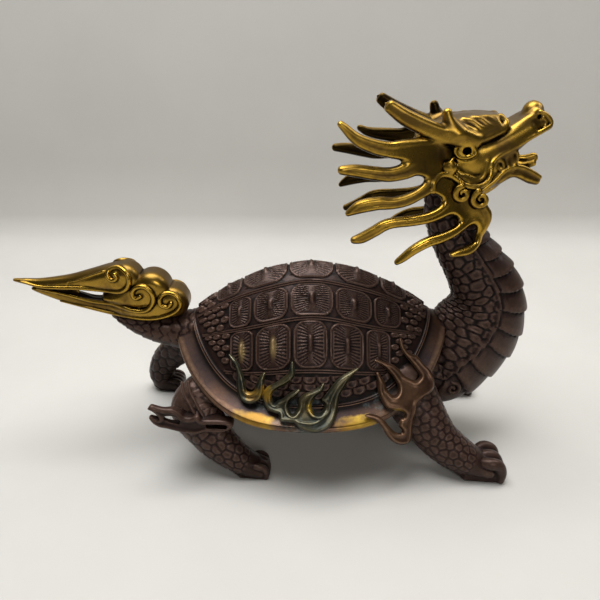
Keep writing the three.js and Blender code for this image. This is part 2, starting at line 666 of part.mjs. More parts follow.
function flames(strokes, side) {
  return joined(strokes.map((stroke) => {
    const stations = stroke.map(([angle, reach, half]) => {
      const point = flamePoint(side, angle, reach).divideScalar(K);
      return [point.x, point.y, point.z, half];
    });
    const facing = (t) => {
      const place = t * (stroke.length - 1);
      const i = Math.min(Math.floor(place), stroke.length - 2);
      const [a, b] = [stroke[i], stroke[i + 1]];
      const round = side * (Math.PI / 2 - degrees(mix(a[0], b[0], place - i)));
      return shellNormal(round, mix(a[1], b[1], place - i));
    };
    return sweep(stations, { facing, sides: 4, perSpan: 0.8, blunt: 0, depth: FLAME_THICKNESS });
  }));
}

function metal(name, solid, color, roughness) {
  const { vertProperties, triVerts } = solid.getMesh();
  const geometry = new THREE.BufferGeometry();
  geometry.setAttribute('position', new THREE.BufferAttribute(vertProperties, 3));
  geometry.setIndex(new THREE.BufferAttribute(triVerts, 1));
  const mesh = new THREE.Mesh(geometry, new THREE.MeshStandardMaterial({ color, roughness, metalness: 1 }));
  mesh.name = name;
  return mesh;
}

const DARK_BRONZE = 0x463430;
const BRASS = 0xb08a35;
const COPPER_BROWN = 0x7a4f38;
const VERDIGRIS = 0x5a6560;

const figure = new THREE.Group();
const neighbours = joined([shell(SEAM), ...legs(SEAM), neck(SEAM)]);
figure.add(metal('turtle_body', turtleBody(), DARK_BRONZE, 0.45));
figure.add(metal('dragon_head', dragonHead(), BRASS, 0.25));
figure.add(metal('tail_plume', tailPlume(), BRASS, 0.25));
[['right', -1], ['left', 1]].forEach(([name, side]) => {
  const brazed = (strokes) => flames(strokes, side).subtract(neighbours);
  figure.add(metal(`rim_flames_${name}`, brazed(RIM_FLAMES), VERDIGRIS, 0.5));
  figure.add(metal(`shoulder_flame_${name}`, brazed(SHOULDER_FLAME), COPPER_BROWN, 0.4));
});

const box = new THREE.Box3().setFromObject(figure);
const middle = box.getCenter(new THREE.Vector3());
figure.position.set(-middle.x, -middle.y, -box.min.z);

export default figure;
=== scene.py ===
import math
import bpy
import numpy as np
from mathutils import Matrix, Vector


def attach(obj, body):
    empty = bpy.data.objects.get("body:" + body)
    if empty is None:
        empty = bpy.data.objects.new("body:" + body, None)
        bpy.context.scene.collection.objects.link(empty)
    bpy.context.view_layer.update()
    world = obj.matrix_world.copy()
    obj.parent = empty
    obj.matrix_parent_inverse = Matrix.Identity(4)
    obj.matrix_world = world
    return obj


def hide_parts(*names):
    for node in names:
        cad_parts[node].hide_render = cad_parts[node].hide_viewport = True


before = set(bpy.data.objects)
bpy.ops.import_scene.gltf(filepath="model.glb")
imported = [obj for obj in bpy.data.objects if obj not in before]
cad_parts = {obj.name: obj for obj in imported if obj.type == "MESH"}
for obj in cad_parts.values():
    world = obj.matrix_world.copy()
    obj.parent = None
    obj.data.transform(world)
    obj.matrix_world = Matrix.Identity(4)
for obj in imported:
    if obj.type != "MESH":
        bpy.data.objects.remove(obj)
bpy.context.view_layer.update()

# The figure is drawn in millimetres, with its shell's middle 4 mm ahead of zero, and then moved forward
# to stand over the middle of its own box.
MM = 0.001
FORWARD = 10.012
TAU = 2 * math.pi
SIDEWAYS = (0, 1, 0)
# The right side, which the camera sees, and the left one
SIDES = (-1, 1)
# Room left between pieces that are brazed together
SEAM = 0.3
# How many degrees the camera looks down
LOOK_DOWN = 24.938


# Numbers and curves

def unit(vectors):
    return vectors / np.maximum(np.linalg.norm(vectors, axis=-1, keepdims=True), 1e-9)


def step(value, low, high):
    """A soft step from 0 at low to 1 at high."""
    t = np.clip((value - low) / (high - low), 0, 1)
    return t * t * (3 - 2 * t)


def bump(value, width):
    """A soft bump that is 1 at 0."""
    return np.exp(-(value / width) ** 2)


def corner_distance(u, v):
    """Distance from the square corner that u and v are measured from, less than 0 inside it."""
    return np.hypot(np.maximum(u, 0), np.maximum(v, 0)) + np.minimum(np.maximum(u, v), 0)


def eased(a, b, soft):
    """The nearer of two distances, with a fillet where they meet."""
    return np.minimum(a, b) - np.maximum(soft - np.abs(a - b), 0) ** 2 / (4 * soft)


def curve(points, places):
    """Points of the smooth curve through the given ones, at places from 0 to 1."""
    p = np.asarray(points, float)
    n = len(p)
    padded = np.vstack([2 * p[0] - p[1], p, 2 * p[-1] - p[-2]])
    place = np.clip(places, 0, 1) * (n - 1)
    i = np.minimum(place.astype(int), n - 2)
    w = (place - i)[:, None]
    a, b, c, d = (padded[i + k] for k in range(4))
    t0, t1 = (c - a) / 2, (d - b) / 2
    return b + t0 * w + (3 * (c - b) - 2 * t0 - t1) * w**2 + (2 * (b - c) + t0 + t1) * w**3


def path_length(path):
    """Length along a path up to each of its points."""
    return np.concatenate([[0], np.cumsum(np.linalg.norm(np.diff(path, axis=0), axis=1))])


def path_frame(path, facing=SIDEWAYS):
    """Directions along a path, to its face and across it."""
    tangent = unit(np.gradient(path, axis=0))
    face = np.broadcast_to(np.array(facing, float), path.shape)
    deep = unit(face - tangent * np.sum(face * tangent, axis=1, keepdims=True))
    return tangent, deep, np.cross(tangent, deep)


def full_stations(stations):
    """Stations [x, y, z, half width, half depth]. A half depth that isn't given is the half width."""
    return np.array([s if len(s) == 5 else [*s, s[3]] for s in stations], float)


# Closed skins. A skin is (points, four-sided faces, three-sided faces).

NO_TRIS = np.zeros((0, 3), int)


def outward(points, quads, tris):
    """Turns every face round if the skin is inside out."""
    corners = np.vstack([tris, quads[:, [0, 1, 2]], quads[:, [0, 2, 3]]])
    a, b, c = (points[corners[:, k]] for k in range(3))
    if np.einsum("ij,ij->", a, np.cross(b, c)) < 0:
        quads, tris = quads[:, ::-1], tris[:, ::-1]
    return points, quads, tris


def closed(rings):
    """A closed skin from rings of points, with a fan over each end."""
    n, m = rings.shape[:2]
    points = np.vstack([rings.reshape(-1, 3), rings[0].mean(axis=0), rings[-1].mean(axis=0)])
    i, j = np.meshgrid(np.arange(n - 1), np.arange(m), indexing="ij")
    k = (j + 1) % m
    quads = np.stack([i * m + j, i * m + k, (i + 1) * m + k, (i + 1) * m + j], axis=-1).reshape(-1, 4)
    j = np.arange(m)
    k = (j + 1) % m
    low = np.stack([np.full(m, n * m), k, j], axis=-1)
    high = np.stack([np.full(m, n * m + 1), (n - 1) * m + j, (n - 1) * m + k], axis=-1)
    return outward(points, quads, np.vstack([low, high]))


def sheet_quads(n, m):
    """Faces of a sheet of n by m points."""
    i, j = np.meshgrid(np.arange(n - 1), np.arange(m - 1), indexing="ij")
    return np.stack([i * m + j, (i + 1) * m + j, (i + 1) * m + j + 1, i * m + j + 1], axis=-1).reshape(-1, 4)


def sheet_edge(n, m):
    """Numbers of the points round the edge of a sheet of n by m points."""
    return np.concatenate([
        np.arange(m), np.arange(1, n) * m + m - 1,
        (n - 1) * m + np.arange(m - 2, -1, -1), np.arange(n - 2, 0, -1) * m,
    ])


def slab(top, bottom):
    """A closed skin between two sheets of points with the same layout."""
    n, m = top.shape[:2]
    face, edge = sheet_quads(n, m), sheet_edge(n, m)
    after = np.roll(edge, -1)
    wall = np.stack([edge, after, after + n * m, edge + n * m], axis=-1)
    points = np.vstack([top.reshape(-1, 3), bottom.reshape(-1, 3)])
    return outward(points, np.vstack([face, face[:, ::-1] + n * m, wall]), NO_TRIS)


def gathered(skins):
    """Several skins as one set of points and faces."""
    counts = np.cumsum([0] + [len(points) for points, _, _ in skins])
    return (
        np.vstack([points for points, _, _ in skins]),
        np.vstack([quads + start for (_, quads, _), start in zip(skins, counts)]),
        np.vstack([tris + start for (_, _, tris), start in zip(skins, counts)]),
    )


def mirrored(skin):
    """The same skin on the other side of the figure's middle plane."""
    points, quads, tris = skin
    return points * (1, -1, 1), quads[:, ::-1], tris[:, ::-1]


def skin_normals(rings):
    """Outward directions of a tube's rings of points."""
    along = np.gradient(rings, axis=0)
    around = np.roll(rings, -1, axis=1) - np.roll(rings, 1, axis=1)
    normal = unit(np.cross(along, around))
    away = rings - rings.mean(axis=1, keepdims=True)
    turned = np.sign(np.sum(normal * away, axis=(1, 2)))
    return normal * np.where(turned == 0, 1, turned)[:, None, None]


LEAST_GIRTH = 0.15
# The share of its radius that a spiral loses on its way in
SPIRAL_SHRINK = 0.85


def sweep(stations, along, around, relief=None, tips=5):
    """An oval swept along a smooth path through stations [x, y, z, half width, half depth], with round tips
    of as many rings as tips says.

    relief(t, angle, length) gives the height of the carving over the skin."""
    full = full_stations(stations)
    t = np.linspace(0, 1, along)
    path = curve(full[:, :3], t)
    half, thick = np.maximum(curve(full[:, 3:], t), LEAST_GIRTH).T
    tangent, deep, across = path_frame(path)
    lean = np.linspace(0.08, 1, tips) * math.pi / 2
    reach, share = np.cos(lean), np.maximum(np.sin(lean), 0.02)
    first, last = np.minimum(half[0], thick[0]) * reach, np.minimum(half[-1], thick[-1]) * reach[::-1]
    path = np.vstack([
        path[0] - tangent[0] * first[:, None], path[1:-1], path[-1] + tangent[-1] * last[:, None],
    ])
    deep, across = (np.vstack([[way[0]] * tips, way[1:-1], [way[-1]] * tips]) for way in (deep, across))
    half, thick = (
        np.concatenate([size[0] * share, size[1:-1], size[-1] * share[::-1]]) for size in (half, thick)
    )
    angle = TAU * (np.arange(around) + 0.5) / around
    rings = (
        path[:, None] + across[:, None] * (np.cos(angle) * half[:, None])[..., None]
        + deep[:, None] * (np.sin(angle) * thick[:, None])[..., None]
    )
    if relief:
        t = np.concatenate([np.zeros(tips), t[1:-1], np.ones(tips)])
        height = relief(t[:, None], angle[None], path_length(path)[:, None])
        rings = rings + skin_normals(rings) * np.broadcast_to(height, rings.shape[:2])[..., None]
    return closed(rings)


def spiral(centre, radius, turns, start, way=1):
    """Places along a spiral in side view, wound in to its middle."""
    t = np.linspace(0, 1, int(turns * 9))
    angle = math.radians(start) + way * t * turns * TAU
    reach = radius * (1 - SPIRAL_SHRINK * t)
    x, z = centre[0] + reach * np.cos(angle), centre[2] + reach * np.sin(angle)
    return np.stack([x, centre[1] + 0 * t, z], -1)


# Modelling in wax: forms are blended in a block of space that holds the distance from the skin, and the
# skin is then drawn through the block. A form is (low corner, high corner, distance at places in between).

BLOCK_DEPTH = 4.0
FAR_AWAY = 99.0
# Space kept round a form for its fillets
ROOM = 2.2


class Wax:
    """A block of wax between two corners, in cells as wide as its grain."""

    def __init__(self, low, high, grain):
        self.grain = grain
        self.axes = [np.arange(a, b + grain, grain) for a, b in zip(low, high)]
        self.depth = np.full([len(a) for a in self.axes], BLOCK_DEPTH)

    def work(self, form, blend):
        """Blends a form into the part of the block that it reaches."""
        low, high, distance = form
        part = tuple(slice(*np.searchsorted(a, (l, h))) for a, l, h in zip(self.axes, low, high))
        grid = np.stack(np.meshgrid(*(a[k] for a, k in zip(self.axes, part)), indexing="ij"), -1)
        if grid.size:
            self.depth[part] = blend(self.depth[part], distance(grid))

    def add(self, *forms, soft):
        """Adds forms with a fillet where they meet."""
        for form in forms:
            self.work(form, lambda wax, found: eased(wax, found, soft))

    def cut(self, *forms, soft):
        """Cuts forms out with an eased edge."""
        for form in forms:
            self.work(form, lambda wax, found: -eased(-wax, found, soft))

    def skin(self):
        """The skin where the distance is 0: one point in each cell that it passes through."""
        d = self.depth
        inside = d < 0
        shape = [n - 1 for n in d.shape]
        corner = {c: tuple(slice(k, k + n) for k, n in zip(c, shape)) for c in np.ndindex(2, 2, 2)}
        total = sum(inside[corner[c]].astype(np.int8) for c in corner)
        cells = np.argwhere((total > 0) & (total < 8))
        number = np.full(shape, -1)
        number[tuple(cells.T)] = np.arange(len(cells))
        place, hits = np.zeros((len(cells), 3)), np.zeros(len(cells))
        for axis in range(3):
            for first in corner:
                if first[axis] == 0:
                    second = tuple(v + (k == axis) for k, v in enumerate(first))
                    a = d[tuple((cells + first).T)]
                    b = d[tuple((cells + second).T)]
                    crossed = (a < 0) != (b < 0)
                    spot = np.tile(np.array(first, float), (len(cells), 1))
                    spot[:, axis] = np.where(crossed, a / np.where(crossed, a - b, 1), 0)
                    place += spot * crossed[:, None]
                    hits += crossed
        points = (cells + place / hits[:, None]) * self.grain + [a[0] for a in self.axes]
        quads = []
        for axis in range(3):
            u, v = (axis + 1) % 3, (axis + 2) % 3
            low = tuple(slice(0 if k == axis else 1, n) for k, n in enumerate(shape))
            high = tuple(slice(1, n + (k == axis)) for k, n in enumerate(shape))
            starts, ends = inside[low], inside[high]
            at = np.argwhere(starts != ends)
            at[:, u] += 1
            at[:, v] += 1
            back_u, back_v = np.eye(3, dtype=int)[u], np.eye(3, dtype=int)[v]
            ring = np.stack([number[tuple((at - m * back_u - n * back_v).T)]
                             for m, n in ((1, 1), (0, 1), (0, 0), (1, 0))], -1)
            turn = starts[starts != ends]
            quads.append(np.where(turn[:, None], ring, ring[:, ::-1]))
        return outward(points, np.vstack(quads), NO_TRIS)


BAR_PITCH = 0.4
LEAST_HALF = 0.12
BATCH = 60000


def bar(stations, facing=SIDEWAYS, depth=None, square=0.0):
    """A bar along stations [x, y, z, half width, half depth] with round ends. Square 0 is a round section and
    1 a flat one with sharp edges. A depth, where it is given, holds for the whole bar."""
    full = full_stations(stations)
    fine = np.linspace(0, 1, 40 * len(full))
    dense = curve(full, fine)
    arc = path_length(dense[:, :3])
    count = max(int(arc[-1] / BAR_PITCH), 4)
    even = np.interp(np.linspace(0, arc[-1], count), arc, fine)
    places = np.column_stack([np.interp(even, fine, column) for column in dense.T])
    path, half = places[:, :3], np.maximum(places[:, 3], LEAST_HALF)
    thick = np.minimum(depth / 2, half) if depth else np.maximum(places[:, 4], LEAST_HALF)
    tangent, deep, across = path_frame(path, facing)
    spacing = arc[-1] / (count - 1)
    room = np.maximum(half, thick).max() + ROOM

    def distance_at(p):
        near = np.argmin(np.sum(path**2, axis=1) - 2 * p @ path.T, axis=1)
        along = np.sum((p - path[near]) * tangent[near], axis=1) / spacing
        place = np.clip(near + along, 0, count - 1)
        i = np.minimum(place.astype(int), count - 2)
        w = (place - i)[:, None]
        off = p - path[i] * (1 - w) - path[i + 1] * w
        w = w[:, 0]
        wide, tall = (size[i] * (1 - w) + size[i + 1] * w for size in (half, thick))
        a, d = np.sum(off * across[near], axis=1), np.sum(off * deep[near], axis=1)
        over = np.abs(near + along - place) * spacing
        small = np.minimum(wide, tall)
        if square:
            edge = small * (1 - square)
            qa, qd = np.abs(a) - wide + edge, np.abs(d) - tall + edge
            corner = np.sqrt(np.maximum(qa, 0) ** 2 + np.maximum(qd, 0) ** 2 + over**2)
            return corner + np.minimum(np.maximum(qa, qd), 0) - edge
        k0 = np.sqrt((a / wide) ** 2 + (d / tall) ** 2 + (over / small) ** 2)
        k1 = np.sqrt((a / wide**2) ** 2 + (d / tall**2) ** 2 + (over / small**2) ** 2)
        return k0 * (k0 - 1) / np.maximum(k1, 1e-6)

    def distance(grid):
        points = grid.reshape(-1, 3)
        found = [distance_at(points[i:i + BATCH]) for i in range(0, len(points), BATCH)]
        return np.concatenate(found).reshape(grid.shape[:-1])

    return path.min(axis=0) - room, path.max(axis=0) + room, distance


def egg(centre, radii):
    """A low egg with the given half sizes."""
    centre, radii = np.array(centre, float), np.array(radii, float)

    def distance(grid):
        p = grid - centre
        k0 = np.linalg.norm(p / radii, axis=-1)
        return k0 * (k0 - 1) / np.maximum(np.linalg.norm(p / radii**2, axis=-1), 1e-6)

    return centre - radii - ROOM, centre + radii + ROOM, distance


def stroke(stations, x, z):
    """Distance in side view from a stroke through stations [x, z, half width]."""
    found = np.full(x.shape, FAR_AWAY)
    for a, b, half in curve(stations, np.linspace(0, 1, 16 * len(stations))):
        found = np.minimum(found, np.hypot(x - a, z - b) - half)
    return found


def outline(corners, x, z):
    """Distance in side view from a smooth closed outline."""
    loop = curve([*corners, corners[0]], np.linspace(0, 1, 5 * len(corners) + 1))
    near, inside = np.full(x.shape, FAR_AWAY), np.zeros(x.shape, bool)
    for (ax, az), (bx, bz) in zip(loop, loop[1:]):
        dx, dz = bx - ax, bz - az
        t = np.clip(((x - ax) * dx + (z - az) * dz) / (dx * dx + dz * dz + 1e-9), 0, 1)
        near = np.minimum(near, np.hypot(x - ax - t * dx, z - az - t * dz))
        crosses = (az > z) != (bz > z)
        inside ^= crosses & (x < ax + (z - az) * dx / np.where(crosses, dz, 1))
    return np.where(inside, -near, near)


def plate(low, high, side_view, middle, thickness, edge, rim=0.0):
    """A plate with the given shape in side view, its middle and half thickness given over x and z; its edge
    is rounded, and a rim raises it along the edge."""
    def distance(grid):
        x, z = grid[:, 0, :, 0], grid[:, 0, :, 2]
        flat = side_view(x, z)
        half = thickness(x, z) + rim * (bump(flat + 1, 0.6) - 0.8 * step(-flat, 1.2, 2.4))
        level = middle(x, z)
        rise_x, rise_z = middle(x + 0.2, z) - level, middle(x, z + 0.2) - level
        tilt = 1 / np.sqrt(1 + rise_x**2 / 0.04 + rise_z**2 / 0.04)
        off = np.abs(grid[..., 1] - level[:, None]) * tilt[:, None]
        ease = np.minimum(edge, half)[:, None]
        return corner_distance(flat[:, None] + ease, off - half[:, None] + ease) - ease

    return np.array(low, float), np.array(high, float), distance


def flat_middle(x, z):
    """The middle of a plate that stands on the figure's middle plane."""
    return 0 * x


# Making meshes

MOST_TRIANGLES = 194000
SHARP_ANGLE = 50
# After so many rounds of smoothing a mark is made, which is full at a depth in millimetres
HOLLOWS = {5: ("hollow", 0.13), 40: ("deep_hollow", 0.55)}


def shape(name, skin, *finishes):
    """A mesh from a skin drawn in millimetres."""
    points, quads, tris = skin
    mesh = bpy.data.meshes.new(name)
    mesh.from_pydata(((points + (FORWARD, 0, 0)) * MM).tolist(), [], quads.tolist() + tris.tolist())
    for finish in finishes:
        mesh.materials.append(finish)
    piece = bpy.data.objects.new(name, mesh)
    bpy.context.collection.objects.link(piece)
    return piece


def settled(piece):
    """Keeps what the piece's modifiers make, and removes them."""
    made = bpy.data.meshes.new_from_object(piece.evaluated_get(bpy.context.evaluated_depsgraph_get()))
    piece.modifiers.clear()
    old = piece.data
    piece.data = made
    bpy.data.meshes.remove(old)
    return piece


def cast(name, whole, skins, finish):
    """One closed casting from a first piece and skins in one finish that grow into it."""
    for skin in skins:
        part = shape(name + "_part", skin, finish)
        union = whole.modifiers.new("union", "BOOLEAN")
        union.operation = "UNION"
        union.solver = "MANIFOLD"
        union.material_mode = "TRANSFER"
        union.object = part
        settled(whole)
        bpy.data.objects.remove(part)
    whole.name = whole.data.name = name
    return whole


def points_of(mesh):
    """A mesh's points in millimetres."""
    at = np.empty(len(mesh.vertices) * 3)
    mesh.vertices.foreach_get("co", at)
    return at.reshape(-1, 3) / MM


def drawn_places(mesh):
    """The x, y and z that a mesh's points are drawn at."""
    return (points_of(mesh) - (FORWARD, 0, 0)).T


def set_mark(mesh, name, values):
    """Keeps a value for each point, for the finishes to read."""
    mesh.attributes.new(name, "FLOAT", "POINT").data.foreach_set("value", values)


def enclosed(at, normal):
    """How far other parts of the piece stand round the space in front of each point: 0 open, 1 closed in."""
    cell, wide = 1.0, 4
    low = at.min(axis=0) - 3 * wide * cell
    count = tuple(((at.max(axis=0) - low) / cell + 3 * wide).astype(int) + 1)
    filled = np.zeros(count)
    filled[tuple(((at - low) / cell).astype(int).T)] = 1
    for axis in range(3):
        total = np.cumsum(filled, axis=axis)
        filled = (np.roll(total, -wide, axis) - np.roll(total, wide + 1, axis)) / (2 * wide + 1)
    front = at + normal * (wide + 1) * cell
    place = np.clip(((front - low) / cell).astype(int), 0, np.array(count) - 1)
    return step(filled[tuple(place.T)], 0.12, 0.3)


def mark_hollows_and_shade(piece):
    """Marks how deep each point lies under its surroundings, 0 on an edge, 0.5 on a plain and 1 in a hollow,
    and painted shade: how far the point is turned down, turned in towards the middle or closed in by other
    parts."""
    mesh = piece.data
    count = len(mesh.vertices)
    at = points_of(mesh)
    normal = np.empty(count * 3)
    mesh.vertex_normals.foreach_get("vector", normal)
    normal = normal.reshape(-1, 3)
    edge = np.empty(len(mesh.edges) * 2, np.int32)
    mesh.edges.foreach_get("vertices", edge)
    a, b = edge.reshape(-1, 2).T
    share = np.maximum(np.bincount(a, minlength=count) + np.bincount(b, minlength=count), 1)
    smooth = at.copy()
    for turn in range(1, max(HOLLOWS) + 1):
        smooth = np.stack([
            np.bincount(a, smooth[b, k], count) + np.bincount(b, smooth[a, k], count) for k in range(3)
        ], -1) / share[:, None]
        if turn in HOLLOWS:
            name, depth = HOLLOWS[turn]
            lift = np.sum((smooth - at) * normal, axis=1)
            set_mark(mesh, name, np.clip(0.5 + 0.5 * lift / depth, 0, 1))
    # Painted shade: undersides, sides turned in towards the middle and places that other parts close in are
    # darkened in the finishes as if in shadow.
    inwards = -np.sign(at[:, 1]) * normal[:, 1] * step(np.abs(at[:, 1]), 6, 9)
    shade_by_facing = np.maximum(0.8 * step(-normal[:, 2], 0.1, 0.8), step(inwards, 0.1, 0.6))
    facing_out = step(np.sign(at[:, 1]) * normal[:, 1], 0.3, 0.75)
    set_mark(mesh, "painted_shade", np.maximum(shade_by_facing, enclosed(at, normal) * (1 - 0.85 * facing_out)))


def lightened(piece):
    """Keeps a piece under its number of triangles; flat stretches lose theirs first."""
    count = sum(len(face.vertices) - 2 for face in piece.data.polygons)
    if count > MOST_TRIANGLES:
        fewer = piece.modifiers.new("fewer", "DECIMATE")
        fewer.ratio = MOST_TRIANGLES / count
        settled(piece)


def finished(piece, node):
    """Marks, lightens and smooths a piece, hangs it on the root and hides the imported part that it takes the
    place of.
    """
    mark_hollows_and_shade(piece)
    lightened(piece)
    mesh = piece.data
    mesh.polygons.foreach_set("use_smooth", [True] * len(mesh.polygons))
    mesh.set_sharp_from_angle(angle=math.radians(SHARP_ANGLE))
    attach(piece, "root")
    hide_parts(node)
    return piece


# The shell: a dome on a saddle-shaped rim that is low at the flanks

SHELL_MIDDLE = 4
DOME_HALF_LENGTH, DOME_HALF_WIDTH = 42, 30
RIM_BAND = 7
RIM_THICKNESS = 2.4
CROWN_HEIGHT = 69.5
DOME_FOOT = {"flank": 31, "rear": 51.5, "front": 52.5}
RIM_EDGE = {"flank": 26, "rear": 46.5, "front": 49.5}
DOME_RISE = CROWN_HEIGHT - DOME_FOOT["flank"]
DOME_CURVE = 1.9
BELLY_HEIGHT = 17
SCUTE_PROUD = 0.8
ROW_TAPER = 0.4
DOME_LINES = 96
# The rings round the dome's foot that still have the dome's dark finish
DARK_RINGS = 5
# The bead round the dome's foot and the rim outside it: reach, and height over the plain rim
RIM_SECTION = [
    (1.02, -0.15), (1.045, -0.02), (1.07, 0.02), (1.09, -0.2), (1.11, -0.36), (1.13, -0.3), (1.145, -0.12),
    (1.165, -0.14), (1.185, -0.34), (1.22, -0.5), (1.3, -0.55), (1.4, -0.5), (1.52, -0.4), (1.66, -0.26),
    (1.79, -0.1), (1.89, 0.02), (1.95, 0.0),
]
RIM_ROUNDING = [20, 50, 80, 110, 140, 165]


def saddle(levels, angle):
    """A level that is lowest at the flanks and rises to both ends."""
    lift = np.cos(angle)
    end = np.where(lift > 0, levels["front"], levels["rear"])
    return levels["flank"] + (end - levels["flank"]) * lift**4


def shell_point(angle, reach, out=0.0):
    """Reach 0 is the crown, 1 the dome's foot, 2 the rim's edge. Angle 0 is at the neck."""
    angle, reach = np.broadcast_arrays(np.asarray(angle, float), np.asarray(reach, float))
    flare = np.clip(reach - 1, 0, 1) * RIM_BAND
    spread = np.minimum(reach, 1)
    foot, edge = saddle(DOME_FOOT, angle), saddle(RIM_EDGE, angle)
    dome = CROWN_HEIGHT + (foot - CROWN_HEIGHT) * spread**DOME_CURVE
    rim = foot + (edge - foot) * np.minimum(reach - 1, 1) - np.maximum(reach - 2, 0) * RIM_BAND
    return np.stack([
        SHELL_MIDDLE + (DOME_HALF_LENGTH * spread + flare + out) * np.cos(angle),
        (DOME_HALF_WIDTH * spread + flare + out) * np.sin(angle),
        np.where(reach <= 1, dome, rim),
    ], -1)


def shell_normal(angle, reach):
    move = 0.002
    around = shell_point(angle + move, reach) - shell_point(angle - move, reach)
    down = shell_point(angle, reach + move) - shell_point(angle, reach - move)
    return unit(np.cross(down, around))


def dome_polar(x, share):
    """Angle and reach of a place along the length, at a share of the half width that narrows to the ends."""
    along = (x - SHELL_MIDDLE) / DOME_HALF_LENGTH
    across = share * (1 - ROW_TAPER * along * along)
    return np.arctan2(across, along), np.maximum(np.hypot(along, across), 0.01)


def dome_point(x, share, proud=0.0):
    angle, reach = dome_polar(np.asarray(x, float), np.asarray(share, float))
    return shell_point(angle, reach) + shell_normal(angle, reach) * np.asarray(proud, float)[..., None]


def dome_reach(x, share):
    return dome_polar(x, share)[1]


def share_length(share):
    """Millimetres along the dome for one whole share, at that share."""
    return math.hypot(DOME_HALF_WIDTH, DOME_RISE * DOME_CURVE * abs(share) ** 0.9)


def dome_sheet():
    """Angle and reach of a sheet of nearly even squares that covers the dome."""
    lines = np.linspace(-1, 1, DOME_LINES)
    a, b = np.meshgrid(lines, lines, indexing="ij")
    wide = np.abs(a) > np.abs(b)
    big = np.where(wide, a, b)
    small = np.where(wide, b, a) / np.where(np.abs(big) < 1e-9, 1, big)
    turn = np.where(wide, math.pi / 4 * small, math.pi / 2 - math.pi / 4 * small)
    x, y = big * np.cos(turn), big * np.sin(turn)
    table = np.linspace(0, 1, 200)
    slope = np.hypot(1, 2.0 * table**0.9)
    arc = np.concatenate([[0], np.cumsum((slope[1:] + slope[:-1]) / 2)])
    return np.arctan2(y, x), np.interp(np.hypot(x, y), arc / arc[-1], table)


def shell_body():
    """The dome, and round it the rim, the under-rim and the belly."""
    angle, reach = dome_sheet()
    groove = -0.2 * bump(1 - reach, 0.025)
    dome = shell_point(angle, reach) + shell_normal(angle, np.clip(reach, 0.01, 0.99)) * groove[..., None]
    edge = sheet_edge(DOME_LINES, DOME_LINES)
    turn = angle.reshape(-1)[edge]
    rings = [shell_point(turn, place) + shell_normal(turn, place) * proud for place, proud in RIM_SECTION]
    for lean in np.radians(RIM_ROUNDING):
        ring = shell_point(turn, 1.96, 0.5 * RIM_THICKNESS * math.sin(lean) - 0.9)
        ring[:, 2] = saddle(RIM_EDGE, turn) + (math.cos(lean) - 1) * RIM_THICKNESS / 2 + 0.15
        rings.append(ring)
    under = saddle(DOME_FOOT, turn) - RIM_THICKNESS - 2
    foot = shell_point(turn, 1.0)
    below = [(1.02, under), (0.985, under * 0.97 + 0.6), (0.97, BELLY_HEIGHT + 4.5),
             (0.955, BELLY_HEIGHT + 3.2), (0.93, BELLY_HEIGHT + 1.2), (0.87, BELLY_HEIGHT),
             (0.45, BELLY_HEIGHT)]
    for share, level in below:
        ring = foot.copy()
        ring[:, 0] = SHELL_MIDDLE + (foot[:, 0] - SHELL_MIDDLE) * share
        ring[:, 1] = foot[:, 1] * share
        ring[:, 2] = level
        rings.append(ring)
    points = np.vstack([dome.reshape(-1, 3), *rings, [rings[-1].mean(axis=0)]])
    quads = [sheet_quads(DOME_LINES, DOME_LINES)]
    loop = edge
    for k in range(len(rings)):
        outer = DOME_LINES**2 + k * len(edge) + np.arange(len(edge))
        quads.append(np.stack([loop, outer, np.roll(outer, -1), np.roll(loop, -1)], -1)[:, ::-1])
        loop = outer
    hub = np.stack([loop, np.full(len(edge), len(points) - 1), np.roll(loop, -1)], -1)[:, ::-1]
    return outward(points, np.vstack(quads), hub)


# Tiles on the shell: scutes, scales and pebbles

TILE_SINK = 0.9
SPINE_ROW = {"ends": [-30, -20, -4, 12, 28, 38], "inner": -0.23, "outer": 0.23}
UPPER_ROW = {"ends": [-25, -16.2, -3.6, 11.6, 25, 35.4], "inner": 0.293, "outer": 0.547}
LOWER_ROW = {"ends": [-24.4, -15.4, -2.6, 9.6, 22, 31.4], "inner": 0.58, "outer": 0.838}
SCUTE_GAP = 0.8
CORD_SHARES = [0.265, 0.563, 0.853]
# Courses of hanging scales: reach, and how square their tops are
COURSES = [(0.898, 0), (0.932, 0.15), (0.9655, 0.3)]
COURSE_HALF = 0.0166
HANGING_HALF = 2.3
HANGING_GAP = 0.12
# Where the round scales lie beyond the ends of the rows: shares from and to, and the row
PEBBLE_ZONES = [(0.0, 0.255, SPINE_ROW), (0.28, 0.555, UPPER_ROW), (0.575, 0.845, LOWER_ROW)]
PEBBLE = 3.2
PEBBLES_IN_LINE = 14


def tile_places(count):
    """Places over a tile, from -1 to 1 along it and down it and a little beyond."""
    return np.meshgrid(*(np.linspace(-1.04, 1.04, n) for n in count), indexing="ij")


def dome_tile(x, share, half_length, half_share, count, height):
    """A raised tile of the dome; height(u, v) gives its carving."""
    u, v = tile_places(count)
    along, over = x + half_length * u, share + half_share * v
    return slab(dome_point(along, over, height(u, v)), dome_point(along, over, -TILE_SINK + 0 * u))


def flank_tile(angle, reach, half_angle, half_reach, count, height):
    """A raised tile that lies along the dome's foot; v runs down."""
    u, v = tile_places(count)
    a, r = angle + half_angle * u, reach + half_reach * v
    base, out = shell_point(a, r), shell_normal(a, r)
    return slab(base + out * height(u, v)[..., None], base - out * TILE_SINK)


